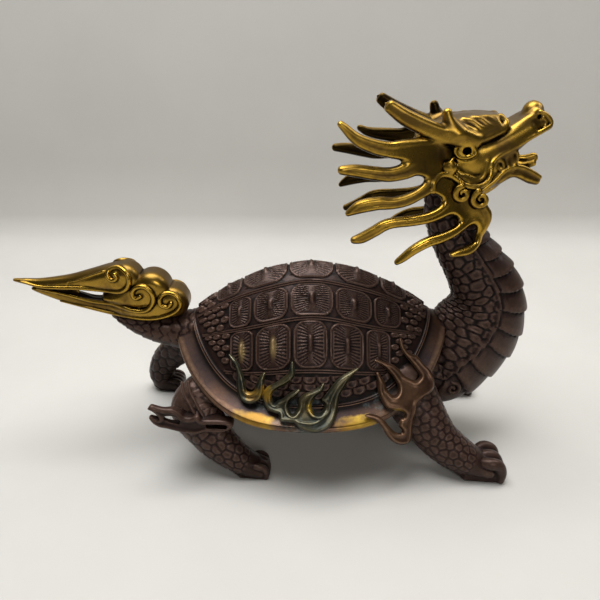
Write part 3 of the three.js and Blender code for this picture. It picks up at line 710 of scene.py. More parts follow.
def scute(start, end, inner, outer):
    """A scute: a fine outline, a smooth border, a fan of grooves on each side and a boss along its middle."""
    length, share = (end - start - SCUTE_GAP) / 2, (outer - inner) / 2
    middle = (inner + outer) / 2
    width = share * share_length(max(abs(middle), 0.12))
    lines = 8 if min(length, width) < 4.2 else 10
    radius = 0.62 * min(length, width)

    def height(u, v):
        barrel, waist = 1 + 0.05 * (v * v - 0.5), 1 + 0.04 * (u * u - 0.5)
        qu = np.abs(u * barrel) * length - (length - radius)
        qv = np.abs(v * waist) * width - (width - radius)
        inside = radius - corner_distance(qu, qv)
        border = 0.55 * step(inside, -0.1, 0.35) + 0.1 * bump(inside - 0.4, 0.22)
        border = border - 0.16 * bump(inside - 0.95, 0.2)
        a = np.abs(u) * length / (length - 1.15)
        b = v * width / (width - 1.2)
        fan = b / (0.55 + 0.45 * np.minimum(a, 1) ** 0.8)
        grooves = (0.5 + 0.5 * np.cos(lines * math.pi * fan)) ** 1.6
        grooves = grooves * step(a, 0.1, 0.24) * (1 - step(a, 0.9, 0.98)) * (1 - step(np.abs(fan), 1.15, 1.5))
        rise = 0.16 * (1 - np.minimum(a, 1) ** 2) * (1 - np.minimum(np.abs(b), 1) ** 2)
        boss = 0.75 * bump(u * length, 0.6) * (1 - step(np.abs(b), 0.12, 0.5))
        panel = step(inside, 1.0, 1.3) * (rise + boss - 0.34 * grooves)
        return border + panel - 0.5 * (1 - step(inside, -0.35, 0.0))

    return dome_tile((start + end) / 2, middle, length, share, (34, 46), height)


def scutes():
    rows = [SPINE_ROW, UPPER_ROW, LOWER_ROW]
    rows += [{"ends": r["ends"], "inner": -r["outer"], "outer": -r["inner"]} for r in (UPPER_ROW, LOWER_ROW)]
    return [
        scute(start, end, row["inner"], row["outer"])
        for row in rows for start, end in zip(row["ends"], row["ends"][1:])
    ]


def hanging(length, width, square):
    """Height of a scale that hangs round-ended from a straight top; v runs down."""
    def height(u, v):
        a, b = u * length, v * width
        low = np.hypot(a / length, np.maximum(b + width * (0.3 - square), 0) / (width * (1.3 - square)))
        inside = (1 - np.maximum(low, np.abs(u))) * min(length, width)
        pillow = 0.5 * step(inside, 0, 0.3) + 0.16 * bump(inside - 0.35, 0.25) - 0.12 * step(inside, 0.5, 1.1)
        return pillow - 0.5 * (1 - step(inside, -0.25, 0.02))
    return height


def pebble(u, v):
    """Height of a round scale with a soft border and a low rim."""
    r = np.hypot(u, v)
    return 0.7 * step(1.02 - r, 0, 0.4) + 0.14 * bump(r - 0.6, 0.14) - 0.5 * step(r, 0.97, 1.04)


def hanging_scales():
    """Hanging scales in courses along the dome's foot, below the last cord."""
    found = []
    width = COURSE_HALF * share_length(1)
    for course, (reach, square) in enumerate(COURSES):
        angle = math.radians(28 + 2.5 * (course % 2))
        while angle < math.radians(154):
            size = math.hypot(DOME_HALF_LENGTH * math.sin(angle), DOME_HALF_WIDTH * math.cos(angle)) * reach
            half = HANGING_HALF / size
            along, across = reach * math.cos(angle), reach * math.sin(angle)
            if (across - 0.017) / (1 - ROW_TAPER * along * along) > CORD_SHARES[-1] + 0.012:
                height = hanging(HANGING_HALF, width, square)
                tile = flank_tile(angle, reach, half, COURSE_HALF, (11, 10), height)
                found += [tile, mirrored(tile)]
            angle += 2 * half + HANGING_GAP / size
    return found


def pebbles():
    """Round scales on the dome's ends, beyond the rows of scutes."""
    found = []
    chance = np.random.default_rng(7)
    for side in SIDES:
        for low, high, row in PEBBLE_ZONES:
            gap = PEBBLE * 0.86 / share_length((low + high) / 2)
            lines = max(round((high - low) / gap), 1)
            for k in range(lines):
                share = low + (high - low) * (k + 0.5) / lines
                for way, start in ((-1, row["ends"][0] - 1.2), (1, row["ends"][-1] + 1.2)):
                    for place in range(PEBBLES_IN_LINE):
                        x = start + way * PEBBLE * (place + 0.5 * (k % 2)) + 0.4 * (chance.random() - 0.5)
                        half = PEBBLE * (0.5 + 0.05 * chance.random())
                        if dome_reach(x, share) + 1.2 / DOME_HALF_LENGTH < 0.995:
                            tile = dome_tile(x, share, half, gap * 0.58, (10, 10), pebble)
                            found.append(tile if side > 0 else mirrored(tile))
    return found


def cords():
    """Fine double cords between the rows."""
    found = []
    for side in SIDES:
        for share in CORD_SHARES:
            for shift in (-0.42, 0.42):
                s = share + shift / share_length(share)
                xs = np.linspace(-40, 48, 400)
                xs = xs[dome_reach(xs, s) < 0.985]
                x = np.linspace(xs[0], xs[-1], 40)
                path = dome_point(x, np.full(40, side * s), np.full(40, 0.08))
                found.append(sweep([[*p, 0.27, 0.34] for p in path], along=90, around=6, tips=2))
    return found


# The neck

NECK = [
    [42, 0, 31, 12, 12], [53, 0, 27.5, 13.2, 12.6], [59.7, 0, 35.7, 16, 12.4], [64.9, 0, 45, 16.2, 11.8],
    [67.1, 0, 53, 14.2, 11], [66.1, 0, 60.5, 12.2, 10], [62, 0, 67.8, 10.5, 9.2], [57, 0, 75, 9.2, 8.4],
    [52.6, 0, 82, 8.2, 7.8], [49.6, 0, 89.5, 7.4, 7], [48.6, 0, 97, 6.2, 6],
]
PLATE_JOINTS = [0.06, 0.122, 0.185, 0.263, 0.335, 0.408, 0.48, 0.545, 0.62, 0.70, 0.78, 0.86]
PLATE_PROUD = 1.1
# Degrees from the front that the plates reach to, by place along the neck
PLATE_EDGE = [(0.13, 100), (0.28, 88), (0.52, 78), (0.66, 74), (1, 66)]
CHANCE_TABLE = 61


def cells(u, v, seed, columns=None):
    """Carving of irregular round scales, one to each whole step of u and v, with a raised lower edge and a
    groove all round. With columns given the pattern closes after that many steps of u."""
    table = np.random.default_rng(seed).random((CHANCE_TABLE, CHANCE_TABLE, 2)) - 0.5
    u, v = np.broadcast_arrays(u, v)
    row, column = np.floor(v).astype(int), np.floor(u).astype(int)
    first, second = np.full(u.shape, 9.0), np.full(u.shape, 9.0)
    below = np.zeros(u.shape)
    for dr in (-1, 0, 1):
        for dc in (-1, 0, 1, 2):
            i, j = row + dr, column + dc - 1
            wrapped = j % columns if columns else j
            nudge = table[i % CHANCE_TABLE, wrapped % CHANCE_TABLE] * 0.44
            du, dv = u - (j + 0.5 + 0.5 * (i % 2) + nudge[..., 0]), v - (i + 0.5 + nudge[..., 1])
            far = np.sqrt(du**2 + (dv * 0.92) ** 2)
            nearer = far < first
            second = np.where(nearer, first, np.minimum(second, far))
            below = np.where(nearer, dv, below)
            first = np.where(nearer, far, first)
    border = second - first
    rim = bump(border - 0.34, 0.17) * (0.45 + 0.55 * step(-below, -0.25, 0.3))
    return 0.25 * step(border, 0.05, 0.5) - 0.25 * bump(border, 0.15) + 0.32 * rim - 0.14 * below


def neck():
    """The neck, with plates that overlap down its front, a ridge along their sides and scales behind it."""
    t = np.linspace(0, 1, 210)[:, None]
    angle = (TAU * np.arange(108) / 108)[None]
    full = np.array(NECK, float)
    path = curve(full[:, :3], t[:, 0])
    girth = curve(full[:, 3:], t[:, 0])
    front = unit(np.cross(SIDEWAYS, unit(np.gradient(path, axis=0))))
    rings = (
        path[:, None] + front[:, None] * (np.cos(angle) * girth[:, :1])[..., None]
        + np.array(SIDEWAYS) * (np.sin(angle) * girth[:, 1:])[..., None]
    )
    turn = np.abs(np.angle(np.exp(1j * angle)))
    plate_edge = np.radians(np.interp(t, *zip(*PLATE_EDGE)))
    arc = (turn - plate_edge) * girth[:, 1:]
    sideways = np.clip(turn / plate_edge, 0, 1)
    place = t - 0.035 * sideways**3
    joints = np.array(PLATE_JOINTS)
    k = np.clip(np.searchsorted(joints, place) - 1, 0, len(joints) - 2)
    within = (place - joints[k]) / (joints[k + 1] - joints[k])
    lift = PLATE_PROUD * (1 - within) * step(within, 0, 0.03) - 0.5 * bump(within, 0.035)
    plates = (lift - 0.4 * bump(1 - within, 0.03)) * (1 - 0.5 * sideways**2)
    ridge = 0.7 * bump(arc - 0.1, 0.36) - 0.35 * bump(arc + 0.7, 0.25)
    spacing = 3.6 - 1.3 * step(arc, 7, 1) - 0.4 * step(t, 0.62, 0.8)
    scales = 0.8 * cells(arc / spacing, path_length(path)[:, None] / 3.4, 5) * step(arc, 0.3, 1.1)
    height = np.where(arc < 0, plates, scales) + ridge
    return closed(rings + skin_normals(rings) * height[..., None])


def neck_scroll(side):
    """A small scroll at the foot of the neck's plates."""
    places = spiral((55.6, side * 12.6, 25.6), 2.7, 1.25, 100, way=-1)
    t = np.linspace(0, 1, len(places))
    return sweep(np.column_stack([places, 0.8 * (1 - 0.3 * t), 0.8 + 0 * t]).tolist(), 5 * len(t), around=12)


# The tail's root, legs and paws

# Width, height, reach and number of toes
HIND_PAW, FRONT_PAW = (9, 6.8, 5.5, 4), (11.6, 10.2, 7, 3)
TAIL_ROOT = [
    [-32, 0, 43, 9, 10], [-44, 0, 43.6, 6.6, 8], [-54, 0, 45, 5, 6.4], [-62, 0, 48, 3.4, 4.6],
    [-67, 0, 50, 1.6, 2.4],
]
RIGHT_HIND_LEG = [
    [-26, -10, 30, 7, 7], [-36, -20.5, 23.8, 9.2, 7], [-31.5, -25, 15.5, 7.6, 6], [-25, -27, 9, 6, 5.2],
    [-19, -27.5, 4.6, 4.6, 5], [-13.5, -27.5, 2.4, 3.2, 4.8],
]
LEFT_HIND_LEG = [
    [-34, 18, 34, 9, 9], [-44, 24, 27, 8.8, 8], [-54, 27, 18.5, 6.6, 6.6], [-59.6, 28, 11, 5.4, 5.6],
    [-59.6, 28, 4.6, 5, 5], [-54, 28, 2.4, 3, 5],
]
RIGHT_FRONT_LEG = [
    [36, -15, 31, 10.5, 9], [41.6, -20.5, 22.6, 9, 7.4], [48, -25, 14.2, 7.4, 6.4],
    [54.6, -27.4, 9, 6.6, 6], [60, -28, 6.2, 5.4, 6], [66, -28, 3.8, 3.8, 6.2],
]
LEFT_FRONT_LEG = [[x + 0.5 * i, -y - 0.35 * i, z, a, b] for i, (x, y, z, a, b) in enumerate(RIGHT_FRONT_LEG)]


def scaly(size, depth, fade, around=38):
    """Carving for a limb: scales of the given size, smooth again towards the foot."""
    count = max(round(around / size), 6)

    def relief(t, angle, length):
        found = cells(angle / TAU * count + 0 * length, -length / size, 11, count)
        return depth * found * (1 - step(t, fade, fade + 0.07))
    return relief


def limbs():
    return [
        sweep(RIGHT_HIND_LEG, along=110, around=84, relief=scaly(3.1, 0.4, 0.74)),
        sweep(LEFT_HIND_LEG, along=80, around=60, relief=scaly(4.2, 0.6, 0.72)),
        sweep(RIGHT_FRONT_LEG, along=120, around=90, relief=scaly(2.7, 0.32, 0.74)),
        sweep(LEFT_FRONT_LEG, along=84, around=64, relief=scaly(3.5, 0.42, 0.72)),
    ]


def paw(x, y, width, height, reach, toes):
    """A rounded paw of knuckled toes that curl down to the ground, over a flat sole."""
    wax = Wax((x - reach * 2.6, y - width, -1.5), (x + width * 0.5, y + width, height * 1.6), 0.32)
    back = [[x - reach * 1.7, y, height * 0.42, height * 0.4, width * 0.36],
            [x - reach * 0.8, y, height * 0.44, height * 0.46, width * 0.45],
            [x - reach * 0.1, y, height * 0.36, height * 0.4, width * 0.46]]
    wax.add(bar(back, square=0.1), soft=1)
    thick = width / (toes * 2)
    for i in range(toes):
        line = y + (i / (toes - 1) - 0.5) * width * 0.8
        wax.add(bar([
            [x - reach * 1.1, y * 0.5 + line * 0.5, height * 0.66, thick * 0.9],
            [x - reach * 0.5, line, height * 0.78, thick * 1.1],
            [x - reach * 0.05, line, height * 0.68, thick * 1.1],
            [x + thick * 0.5, line, height * 0.4, thick * 1.0],
            [x + thick * 0.5, line, height * 0.12, thick * 0.85],
        ]), soft=0.35)
    sole = [[x - reach * 1.5, y, height * 0.2, height * 0.24, width * 0.4],
            [x - reach * 0.3, y, height * 0.2, height * 0.24, width * 0.48],
            [x + thick * 0.35, y, height * 0.16, height * 0.24, width * 0.45]]
    ground = [[x - 40, y, -10, 10, 60], [x + 40, y, -10, 10, 60]]
    wax.add(bar(sole, square=0.3), soft=0.8)
    wax.cut(bar(ground, square=0.95), soft=0.02)
    return wax.skin()


def paws():
    return [
        paw(-12.6, -27.5, *HIND_PAW), paw(-52.6, 28, *HIND_PAW),
        paw(69.2, -28, *FRONT_PAW), paw(71.8, 26.3, *FRONT_PAW),
    ]


# The flame on the thigh in side view, with its mouth to the rear
THIGH_FLAME = [
    [-51.2, 29.1], [-49.9, 30.5], [-47.7, 29.8], [-45.6, 29.3], [-43, 29.1], [-40.8, 27.7], [-39.1, 25.9],
    [-36.9, 25.7], [-34.6, 26.4], [-33.2, 24.8], [-30.9, 24.6], [-27.9, 24.6], [-24.9, 24.1], [-22.7, 23],
    [-23.2, 21.3], [-25.9, 19.9], [-28.9, 19.5], [-32, 19.9], [-33.5, 19.5], [-35.8, 19], [-39.6, 19.5],
    [-42.6, 20.4], [-45.5, 21.3], [-47.8, 21.8], [-49.9, 23.4], [-51, 25.5], [-50.2, 26.2], [-47.8, 25.5],
    [-49.1, 27.7],
]
THIGH_OPENINGS = [
    [[-45.2, 25.5, 0.8], [-43.2, 25, 1.3], [-41.2, 24, 0.9]],
    [[-31.2, 22.4, 0.85], [-25.6, 22.1, 0.95]],
]
THIGH_RIDGE = [
    [-40.3, 23.4, 35], [-39.4, 25.8, 32.3], [-37.7, 27.3, 29.6], [-36.1, 28.3, 26.4], [-34.6, 29.3, 24],
]


def thigh_flame(side):
    """The flame on one thigh. The left leg stands further out at the hip, and its flame with it."""
    face = 30.9 if side < 0 else 32.9
    low, high = (-53.5, 25.5, 16.5), (-20.5, 34.5, 33)
    wax = Wax(low, high, 0.3)

    def side_view(x, z):
        return outline(THIGH_FLAME, x, z)

    def half(x, z):
        return 1.1 + 1.1 * step(x, -46, -38)

    def middle(x, z):
        return face - half(x, z)
    wax.add(plate(low, high, side_view, middle, half, 0.8, 0.3), soft=0.1)
    for opening in THIGH_OPENINGS:
        wax.cut(bar([[x, face - 1, z, r, 5] for x, z, r in opening], square=0.2), soft=0.4)
    skin = wax.skin()
    return skin if side > 0 else mirrored(skin)


def thigh_ridges():
    """Two ridges on each side that run down from the hip to the flame."""
    found = []
    for side in SIDES:
        out = 1.4 if side > 0 else 0
        for shift in (0, 2):
            ridge = [[x + shift, side * (y - 0.3 * shift + out), z, 0.55] for x, y, z in THIGH_RIDGE]
            found.append(sweep(ridge, along=40, around=10))
    return found


def on_the_ground(skin):
    """Presses whatever hangs below the ground flat onto it."""
    points, quads, tris = skin
    return np.column_stack([points[:, :2], np.maximum(points[:, 2], 0)]), quads, tris


def turtle_body(dark, rim_metal):
    shell = shape("shell", shell_body(), dark, rim_metal)
    dark_faces = (DOME_LINES - 1) ** 2 + DARK_RINGS * 4 * (DOME_LINES - 1)
    faces = range(len(shell.data.polygons))
    shell.data.polygons.foreach_set("material_index", [int(i >= dark_faces) for i in faces])
    tail = sweep(TAIL_ROOT, along=60, around=44, relief=scaly(3.4, 0.6, 2, 36))
    skins = [gathered(scutes() + hanging_scales() + pebbles()), *cords(), neck(), tail]
    skins += [on_the_ground(limb) for limb in limbs()] + paws()
    skins += [thigh_flame(side) for side in SIDES] + thigh_ridges() + [neck_scroll(side) for side in SIDES]
    return cast("turtle_body_bronze", shell, skins, dark)


# The dragon head. What is on both sides is listed for the left one.

SKULL = [
    [38, 0, 108, 5, 5], [42, 0, 109, 9, 8], [49, 0, 109, 11, 9], [56, 0, 109, 11, 8.4],
    [62, 0, 110.5, 8, 7], [65.5, 0, 112.5, 4.6, 5],
]
MUZZLE = [
    [55, 0, 104.5, 5, 7.8], [60, 0, 108, 5, 7.4], [65, 0, 112, 4.2, 7.3], [69.5, 0, 115.4, 3.8, 6.3],
    [73.5, 0, 118.4, 3.1, 5.2], [77, 0, 118.9, 1.6, 4],
]
LOWER_JAW = [
    [54, 0, 97.5, 4.5, 8], [60.5, 0, 99.4, 2.8, 7.4], [66, 0, 102.4, 1.4, 6.6], [70.5, 0, 102.6, 1.1, 6],
    [75, 0, 100.8, 1, 5.2], [77.4, 0, 99.6, 0.8, 4.4],
]
CREST = [[62.5, 0, 119.4, 1.2, 4.2], [56, 0, 119, 1.8, 6.6], [48, 0, 117.4, 2, 7], [40, 0, 113.6, 1.6, 4]]
HORN = [
    [54, 8.6, 113.4, 2.2], [51, 8.8, 114.2, 2.9], [45, 9.4, 115.4, 2.9], [39, 9.8, 117.4, 2.7],
    [32, 10.2, 120.6, 2.5], [28, 10.4, 123.1, 2.1], [26.8, 10.4, 123.9, 1.9],
]
TINE = [[47.4, 9.2, 116, 3.6], [45.8, 9.6, 118.4, 2.6], [44.8, 9.8, 120.4, 1.8], [44.3, 9.8, 121.9, 1.5]]
BROW_RIDGE = [
    [42, 9.8, 116.6, 1.2], [45.7, 9.9, 115.4, 1.3], [49.3, 9.7, 114.3, 1.3], [52.5, 9.3, 113.8, 1.4],
    [56, 8.6, 114.1, 1.4], [59.5, 7.6, 115.3, 1.3], [62.8, 6.4, 116.7, 1.2], [64, 5.2, 118.4, 1],
    [62.5, 3.6, 119.9, 0.9],
]
BROW_FLAMES = [
    [[45.6, 8.6, 119, 0.5], [49, 8.9, 118.3, 0.8], [52.2, 8.9, 116.9, 0.9], [54.4, 8.7, 116, 0.5]],
    [[50, 6.6, 119.8, 0.4], [52.8, 7.4, 119, 0.6], [55.2, 7.9, 117.4, 0.7], [57.6, 7.6, 116.6, 0.4]],
    [[53, 5.8, 120.2, 0.4], [55.6, 6.6, 119.5, 0.6], [57.9, 7.1, 118, 0.6], [60, 6.7, 117.2, 0.4]],
    [[56, 4.8, 120.3, 0.4], [58.4, 5.6, 119.7, 0.6], [60.3, 6, 118.6, 0.5], [61.8, 5.6, 118, 0.3]],
]
BROW_PLATE = [[45, 8.2, 116.6, 2.2], [50, 8, 116.8, 2.8], [56, 7.2, 117, 2.8], [61, 5.8, 118.2, 2.2]]
FACE_PANEL = [
    [49.6, 8.8, 107, 4], [55, 8.7, 106.6, 4.6], [60, 8, 109.6, 3], [66, 6.9, 112.6, 2.4],
    [72, 5.5, 116.2, 2],
]
BROW_LUMP = [[47.6, 9.6, 112.8, 0.5], [50.3, 9.8, 113.5, 0.8]]
EYE, EYE_RADII = [50.9, 9.7, 110.8], (3.2, 2.2)
TEAR = [[53.5, 9.3, 109.6, 0.8], [55.8, 8.9, 109.6, 0.3]]
LOWER_LID = [
    [47.7, 9.9, 108.6, 0.4], [50, 9.9, 107.4, 0.55], [52.9, 9.6, 107.6, 0.55], [55.4, 9.1, 109, 0.35],
]
KNOB = [46.3, 11.6, 105.9]
KNOB_TIP = [[46.2, 12.4, 107.2, 1], [47, 12.2, 109.2, 0.25]]
LIP_BAND = [
    [41.1, 15, 99.2, 0.7], [41.2, 14.8, 101.8, 0.7], [42.8, 13.4, 103.6, 0.75], [44.8, 12.6, 104, 0.8],
    [47.4, 12, 103.2, 0.8], [49.8, 11.8, 101.6, 0.8], [51.9, 11.6, 100.3, 0.8], [55.3, 11.3, 99.7, 0.8],
    [58.2, 10.6, 100.6, 0.8], [59.7, 9.9, 102.8, 0.8], [59.9, 9.3, 105.1, 0.8], [60.4, 8.8, 107.3, 0.8],
    [62.5, 8.2, 109.2, 0.8], [67.1, 7.2, 111.5, 0.8], [71.6, 6.4, 114, 0.8], [75.6, 5.6, 116.1, 0.8],
    [77.9, 4.8, 117.2, 0.7],
]
# How many of the lip band's places have a groove along them
GROOVED = 12
CHEEK_FOLD = [
    [52, 9.8, 102.4, 0.8], [54.7, 9.7, 101.4, 1], [57.2, 9.4, 102, 1], [58.3, 9, 104.1, 0.9],
    [58.6, 8.6, 106.8, 0.7],
]
NOSTRIL = [73.8, 120.6]
LIP_END = [
    [74.6, 4.2, 121.4, 0.7], [76.8, 4.3, 120.3, 0.75], [78.2, 4.3, 118.5, 0.75], [77.9, 4.5, 117, 0.7],
    [76.3, 4.9, 116.3, 0.7],
]
LIP_INNER = [[75.2, 4.5, 120, 0.5], [76.6, 4.5, 118.7, 0.5], [76, 4.6, 117.4, 0.5]]
FRONT_LIP_CURL = [
    [65.8, 7.2, 105.4, 0.65], [64.9, 7.2, 107.3, 0.65], [65, 7.2, 109.3, 0.65], [66.4, 7.2, 110.2, 0.65],
    [68, 7, 109.6, 0.65], [68.4, 7, 107.5, 0.65], [67.7, 7, 105.8, 0.65],
]
BACK_LIP_CURL = [
    [61.6, 7.9, 104.3, 0.6], [61.2, 7.9, 106.4, 0.6], [62.1, 7.9, 107.5, 0.6], [63.6, 7.7, 107, 0.6],
    [64.2, 7.7, 105.5, 0.6], [63.4, 7.7, 104.4, 0.6], [62.6, 7.7, 105.2, 0.5],
]
MOUTH_CORNER = [
    [59.4, 7.6, 100.8, 2.6], [62.6, 7.3, 103.4, 3.2], [65.4, 6.8, 106.2, 3.2], [67, 6.4, 109.4, 2],
]
JAW_EDGE = [
    [58.2, 8.8, 98.2, 0.9], [61.7, 8.3, 101, 0.9], [63.4, 7.9, 102.9, 0.85], [65.5, 7.5, 104.5, 0.8],
    [68.1, 7, 105.2, 0.8], [71.2, 6.6, 104.6, 0.8], [74.5, 6, 103, 0.8], [77, 5.2, 101.5, 0.8],
]
JAW_LOWER = [
    [66.5, 7.1, 102.6, 0.6], [69.7, 6.8, 102.4, 0.7], [73.1, 6.2, 101, 0.8], [76.4, 5.2, 99.9, 0.8],
]
JAW_PANEL = [
    [63.4, 7.2, 101, 1.3], [67.6, 6.8, 103.4, 1.7], [70.6, 6.5, 103, 2], [74, 5.9, 101.4, 2],
    [76.8, 5, 100.2, 1.5],
]
FAR_LIP = [
    [65.5, 5.6, 106.6, 1], [69.4, 5.2, 106.6, 1], [72, 5, 105.7, 1], [74.4, 4.8, 105.5, 1.1],
    [76.6, 4.6, 105.9, 1.1], [78, 4.5, 106.4, 1], [78.6, 4.4, 105.4, 0.8],
]
# Centre, radius, turns and the degrees that each curl starts at
CHEEK_CURLS = [((50.9, 12.7, 97.9), 2.6, 1.3, 100), ((57.2, 11.8, 95.9), 2.9, 1.35, 115)]

# The mane in side view: strokes [x, z, half width] that run out of a collar behind the cheek
TOP_STRAND = [
    [11.8, 119.8, 1], [13.2, 118.6, 1.3], [15.3, 116.6, 1.6], [17.8, 114.9, 1.9], [22.1, 113.2, 2.2],
    [26.7, 112.2, 2.4], [31.3, 111.9, 3], [36.2, 111.2, 3.7], [42, 109.5, 4],
]
SHORT_TOP_STRAND = [
    [20.8, 113.4, 1.1], [23.6, 112.2, 1.6], [28, 111.6, 2.1], [34, 111.4, 2.4], [41, 110.4, 3.4],
]
STRANDS = [
    [[12.6, 106.5, 1.4], [16.7, 106.3, 1.9], [22.4, 105.4, 2.1], [27, 104.9, 2.2], [31.6, 105.6, 2.4],
     [35.7, 106.9, 2.8], [41, 106.4, 3.4]],
    [[14.8, 93.2, 0.9], [16.4, 94.2, 1.5], [19.1, 95.4, 2.1], [24, 96.2, 2.1], [28.7, 96.2, 1.9],
     [32.9, 97, 1.9], [36.8, 98.7, 1.9], [40.3, 100.6, 2.3], [44, 101, 3]],
    [[17, 84.6, 1.2], [19.5, 85.3, 1.7], [23.3, 87.4, 1.8], [26.3, 89.2, 1.8], [29.4, 90, 1.7],
     [34.9, 90.4, 1.7], [40.2, 91.1, 1.8], [44.2, 92.4, 2], [48, 94.4, 2.6]],
    [[31, 77, 0.9], [32.8, 78.3, 1.3], [36.4, 81.1, 1.6], [40.7, 83.3, 1.7], [45.2, 84.4, 1.6],
     [49.4, 85.8, 1.5], [52.2, 87.4, 1.6], [55, 90, 2.6]],
    [[49, 78.5, 0.7], [51.4, 78.8, 1.2], [55.2, 79.3, 1.5], [57.8, 80.8, 1.3], [58.6, 83.6, 1.2],
     [59.2, 86.8, 1.7], [58.6, 90, 2.4]],
]
COLLAR = [
    [36, 114], [34, 109.6], [38.4, 105], [40.6, 102], [44.6, 96.4], [50.6, 89.8], [54.6, 89], [57, 88.4],
    [58.6, 86], [59.6, 85.4], [61.6, 88.4], [61.4, 91], [60.4, 92.8], [58.2, 96.8], [55.8, 100.6],
    [50, 104.6], [50, 108], [50, 113], [42, 114.5],
]
STRAND_HALF = 1.45


def mane_level(x, z):
    """The mane lies close behind the cheek and spreads as it runs back."""
    back = 47.5 - 0.55 * (z - 100) - x
    back = (back + np.sqrt(back**2 + 9)) / 2
    return 9.6 + 8.8 * (1 - np.exp(-back / 11)) - 3.5 * step(x, 42, 50) * step(z, 103, 108)


def mane(side):
    top = TOP_STRAND if side < 0 else SHORT_TOP_STRAND

    def side_view(x, z):
        found = outline(COLLAR, x, z)
        for stations in (top, *STRANDS):
            found = eased(found, stroke(stations, x, z), 2.4)
        return found

    def middle(x, z):
        return side * mane_level(x, z)

    def half(x, z):
        return STRAND_HALF + 0 * x
    low, high = ((8, -21.5, 73.6), (64, -6, 122)) if side < 0 else ((8, 6, 73.6), (64, 21.5, 122))
    return plate(low, high, side_view, middle, half, 1.35, 0.12)


def rod(stations, side, **options):
    """A bar whose stations are given for the left side."""
    return bar([[x, side * y, z, *rest] for x, y, z, *rest in stations], **options)


def add_brow(wax, side):
    wax.add(rod(HORN, side, square=0.35), soft=1.0)
    wax.add(rod(TINE, side), rod(BROW_RIDGE, side), soft=1.3)
    wax.add(*(rod(flame, side) for flame in BROW_FLAMES), soft=0.5)


def add_eye(wax, side):
    """The eyeball, the lids round it and a hollow pupil."""
    x, y, z = EYE[0], side * EYE[1], EYE[2]
    length, height = EYE_RADII
    wax.add(egg([x, y, z], [length, 1.7, height]), soft=0.8)
    lids = [
        [x + length * math.cos(a), y + side * 0.7,
         z + height * math.sin(a) * (1 - 0.22 * math.cos(a)) - 0.3 * math.cos(a), 0.6]
        for a in np.linspace(0, TAU, 17)
    ]
    wax.add(bar(lids), rod(TEAR, side), rod(LOWER_LID, side), rod(BROW_LUMP, side), soft=0.4)
    wax.cut(egg([x + 0.4, y + side * 1.5, z], [1.35, 2.6, 1.15]), soft=0.4)


def add_knob(wax, side):
    """The knob on the cheek with its pointed tip and a ring cut into it."""
    x, y, z = KNOB[0], side * KNOB[1], KNOB[2]
    wax.add(egg([x, y, z], [2.4, 1.7, 2.3]), rod(KNOB_TIP, side), soft=0.4)
    round_it = np.linspace(0, TAU, 13)
    ring = [[x + 1.2 * math.cos(a), y + side * 1.7, z + 1.1 * math.sin(a), 0.25] for a in round_it]
    wax.cut(bar(ring), soft=0.3)


def add_mouth(wax, side):
    """The lip band, the nostril and what lies along the lips and the lower jaw."""
    wax.add(rod(CHEEK_FOLD, side), soft=1.6)
    wax.add(rod(LIP_BAND, side), soft=0.5)
    wax.cut(rod([[x, y + 0.85, z, 0.2] for x, y, z, _ in LIP_BAND[:GROOVED]], side), soft=0.25)
    x, z = NOSTRIL
    wax.add(egg([x, side * 3.2, z + 0.4], [1.8, 1.2, 1.6]), soft=0.6)
    wax.cut(egg([x + 0.5, side * 4.4, z - 0.6], [0.8, 1, 0.7]), soft=0.4)
    wax.add(egg([76.2, side * 3.8, 118.5], [2, 0.9, 2.4]), soft=0.5)
    wax.add(rod(LIP_END, side), rod(LIP_INNER, side), soft=0.35)
    wax.add(rod(JAW_PANEL, side, depth=1.4), soft=0.8)
    wax.add(rod(FRONT_LIP_CURL, side), rod(BACK_LIP_CURL, side), soft=0.35)
    wax.add(rod(JAW_EDGE, side), rod(JAW_LOWER, side), soft=0.5)


def add_cheek_curls(wax, side):
    for (x, y, z), radius, turns, start in CHEEK_CURLS:
        path = spiral((x, side * y, z), radius, turns, start)
        wide = 1.05 - 0.7 * np.linspace(0, 1, len(path)) ** 1.5
        wax.add(bar([[*p, w, 1.1] for p, w in zip(path, wide)], depth=2.4, square=0.2), soft=0.3)


def dragon_head(finish):
    wax = Wax((8, -21.5, 73.6), (81.5, 21.5, 127.6), 0.34)
    wax.add(bar(SKULL), bar(MUZZLE, square=0.45), bar(LOWER_JAW, square=0.4), soft=1.5)
    wax.add(bar(CREST, square=0.3), egg([73.6, 0, 121.2], [3.3, 3.4, 3.3]), soft=1.6)
    for side in SIDES:
        wax.add(mane(side), soft=1.4)
        brow_plate = rod(BROW_PLATE, side, facing=(0, side * 0.8, 0.6), depth=2.4)
        wax.add(rod(FACE_PANEL, side, depth=2.2), brow_plate, soft=1.8)
        wax.add(rod(MOUTH_CORNER, side, depth=1.6, square=0.3), soft=1.2)
        for add in (add_brow, add_eye, add_knob, add_mouth, add_cheek_curls):
            add(wax, side)
    below_lip = [[x, y - 0.4, z - 2.2, 1.4] for x, y, z, _ in FAR_LIP[:-1]]
    wax.add(bar(FAR_LIP, depth=2.4), bar(below_lip, depth=1.6), soft=0.6)
    wax.cut(bar([[x, y, z, a + SEAM, b + SEAM] for x, y, z, a, b in NECK]), soft=0.1)
    return shape("dragon_head_brass", wax.skin(), finish)


# The tail plume: three locks rolled up at the root and drawn out into two tips

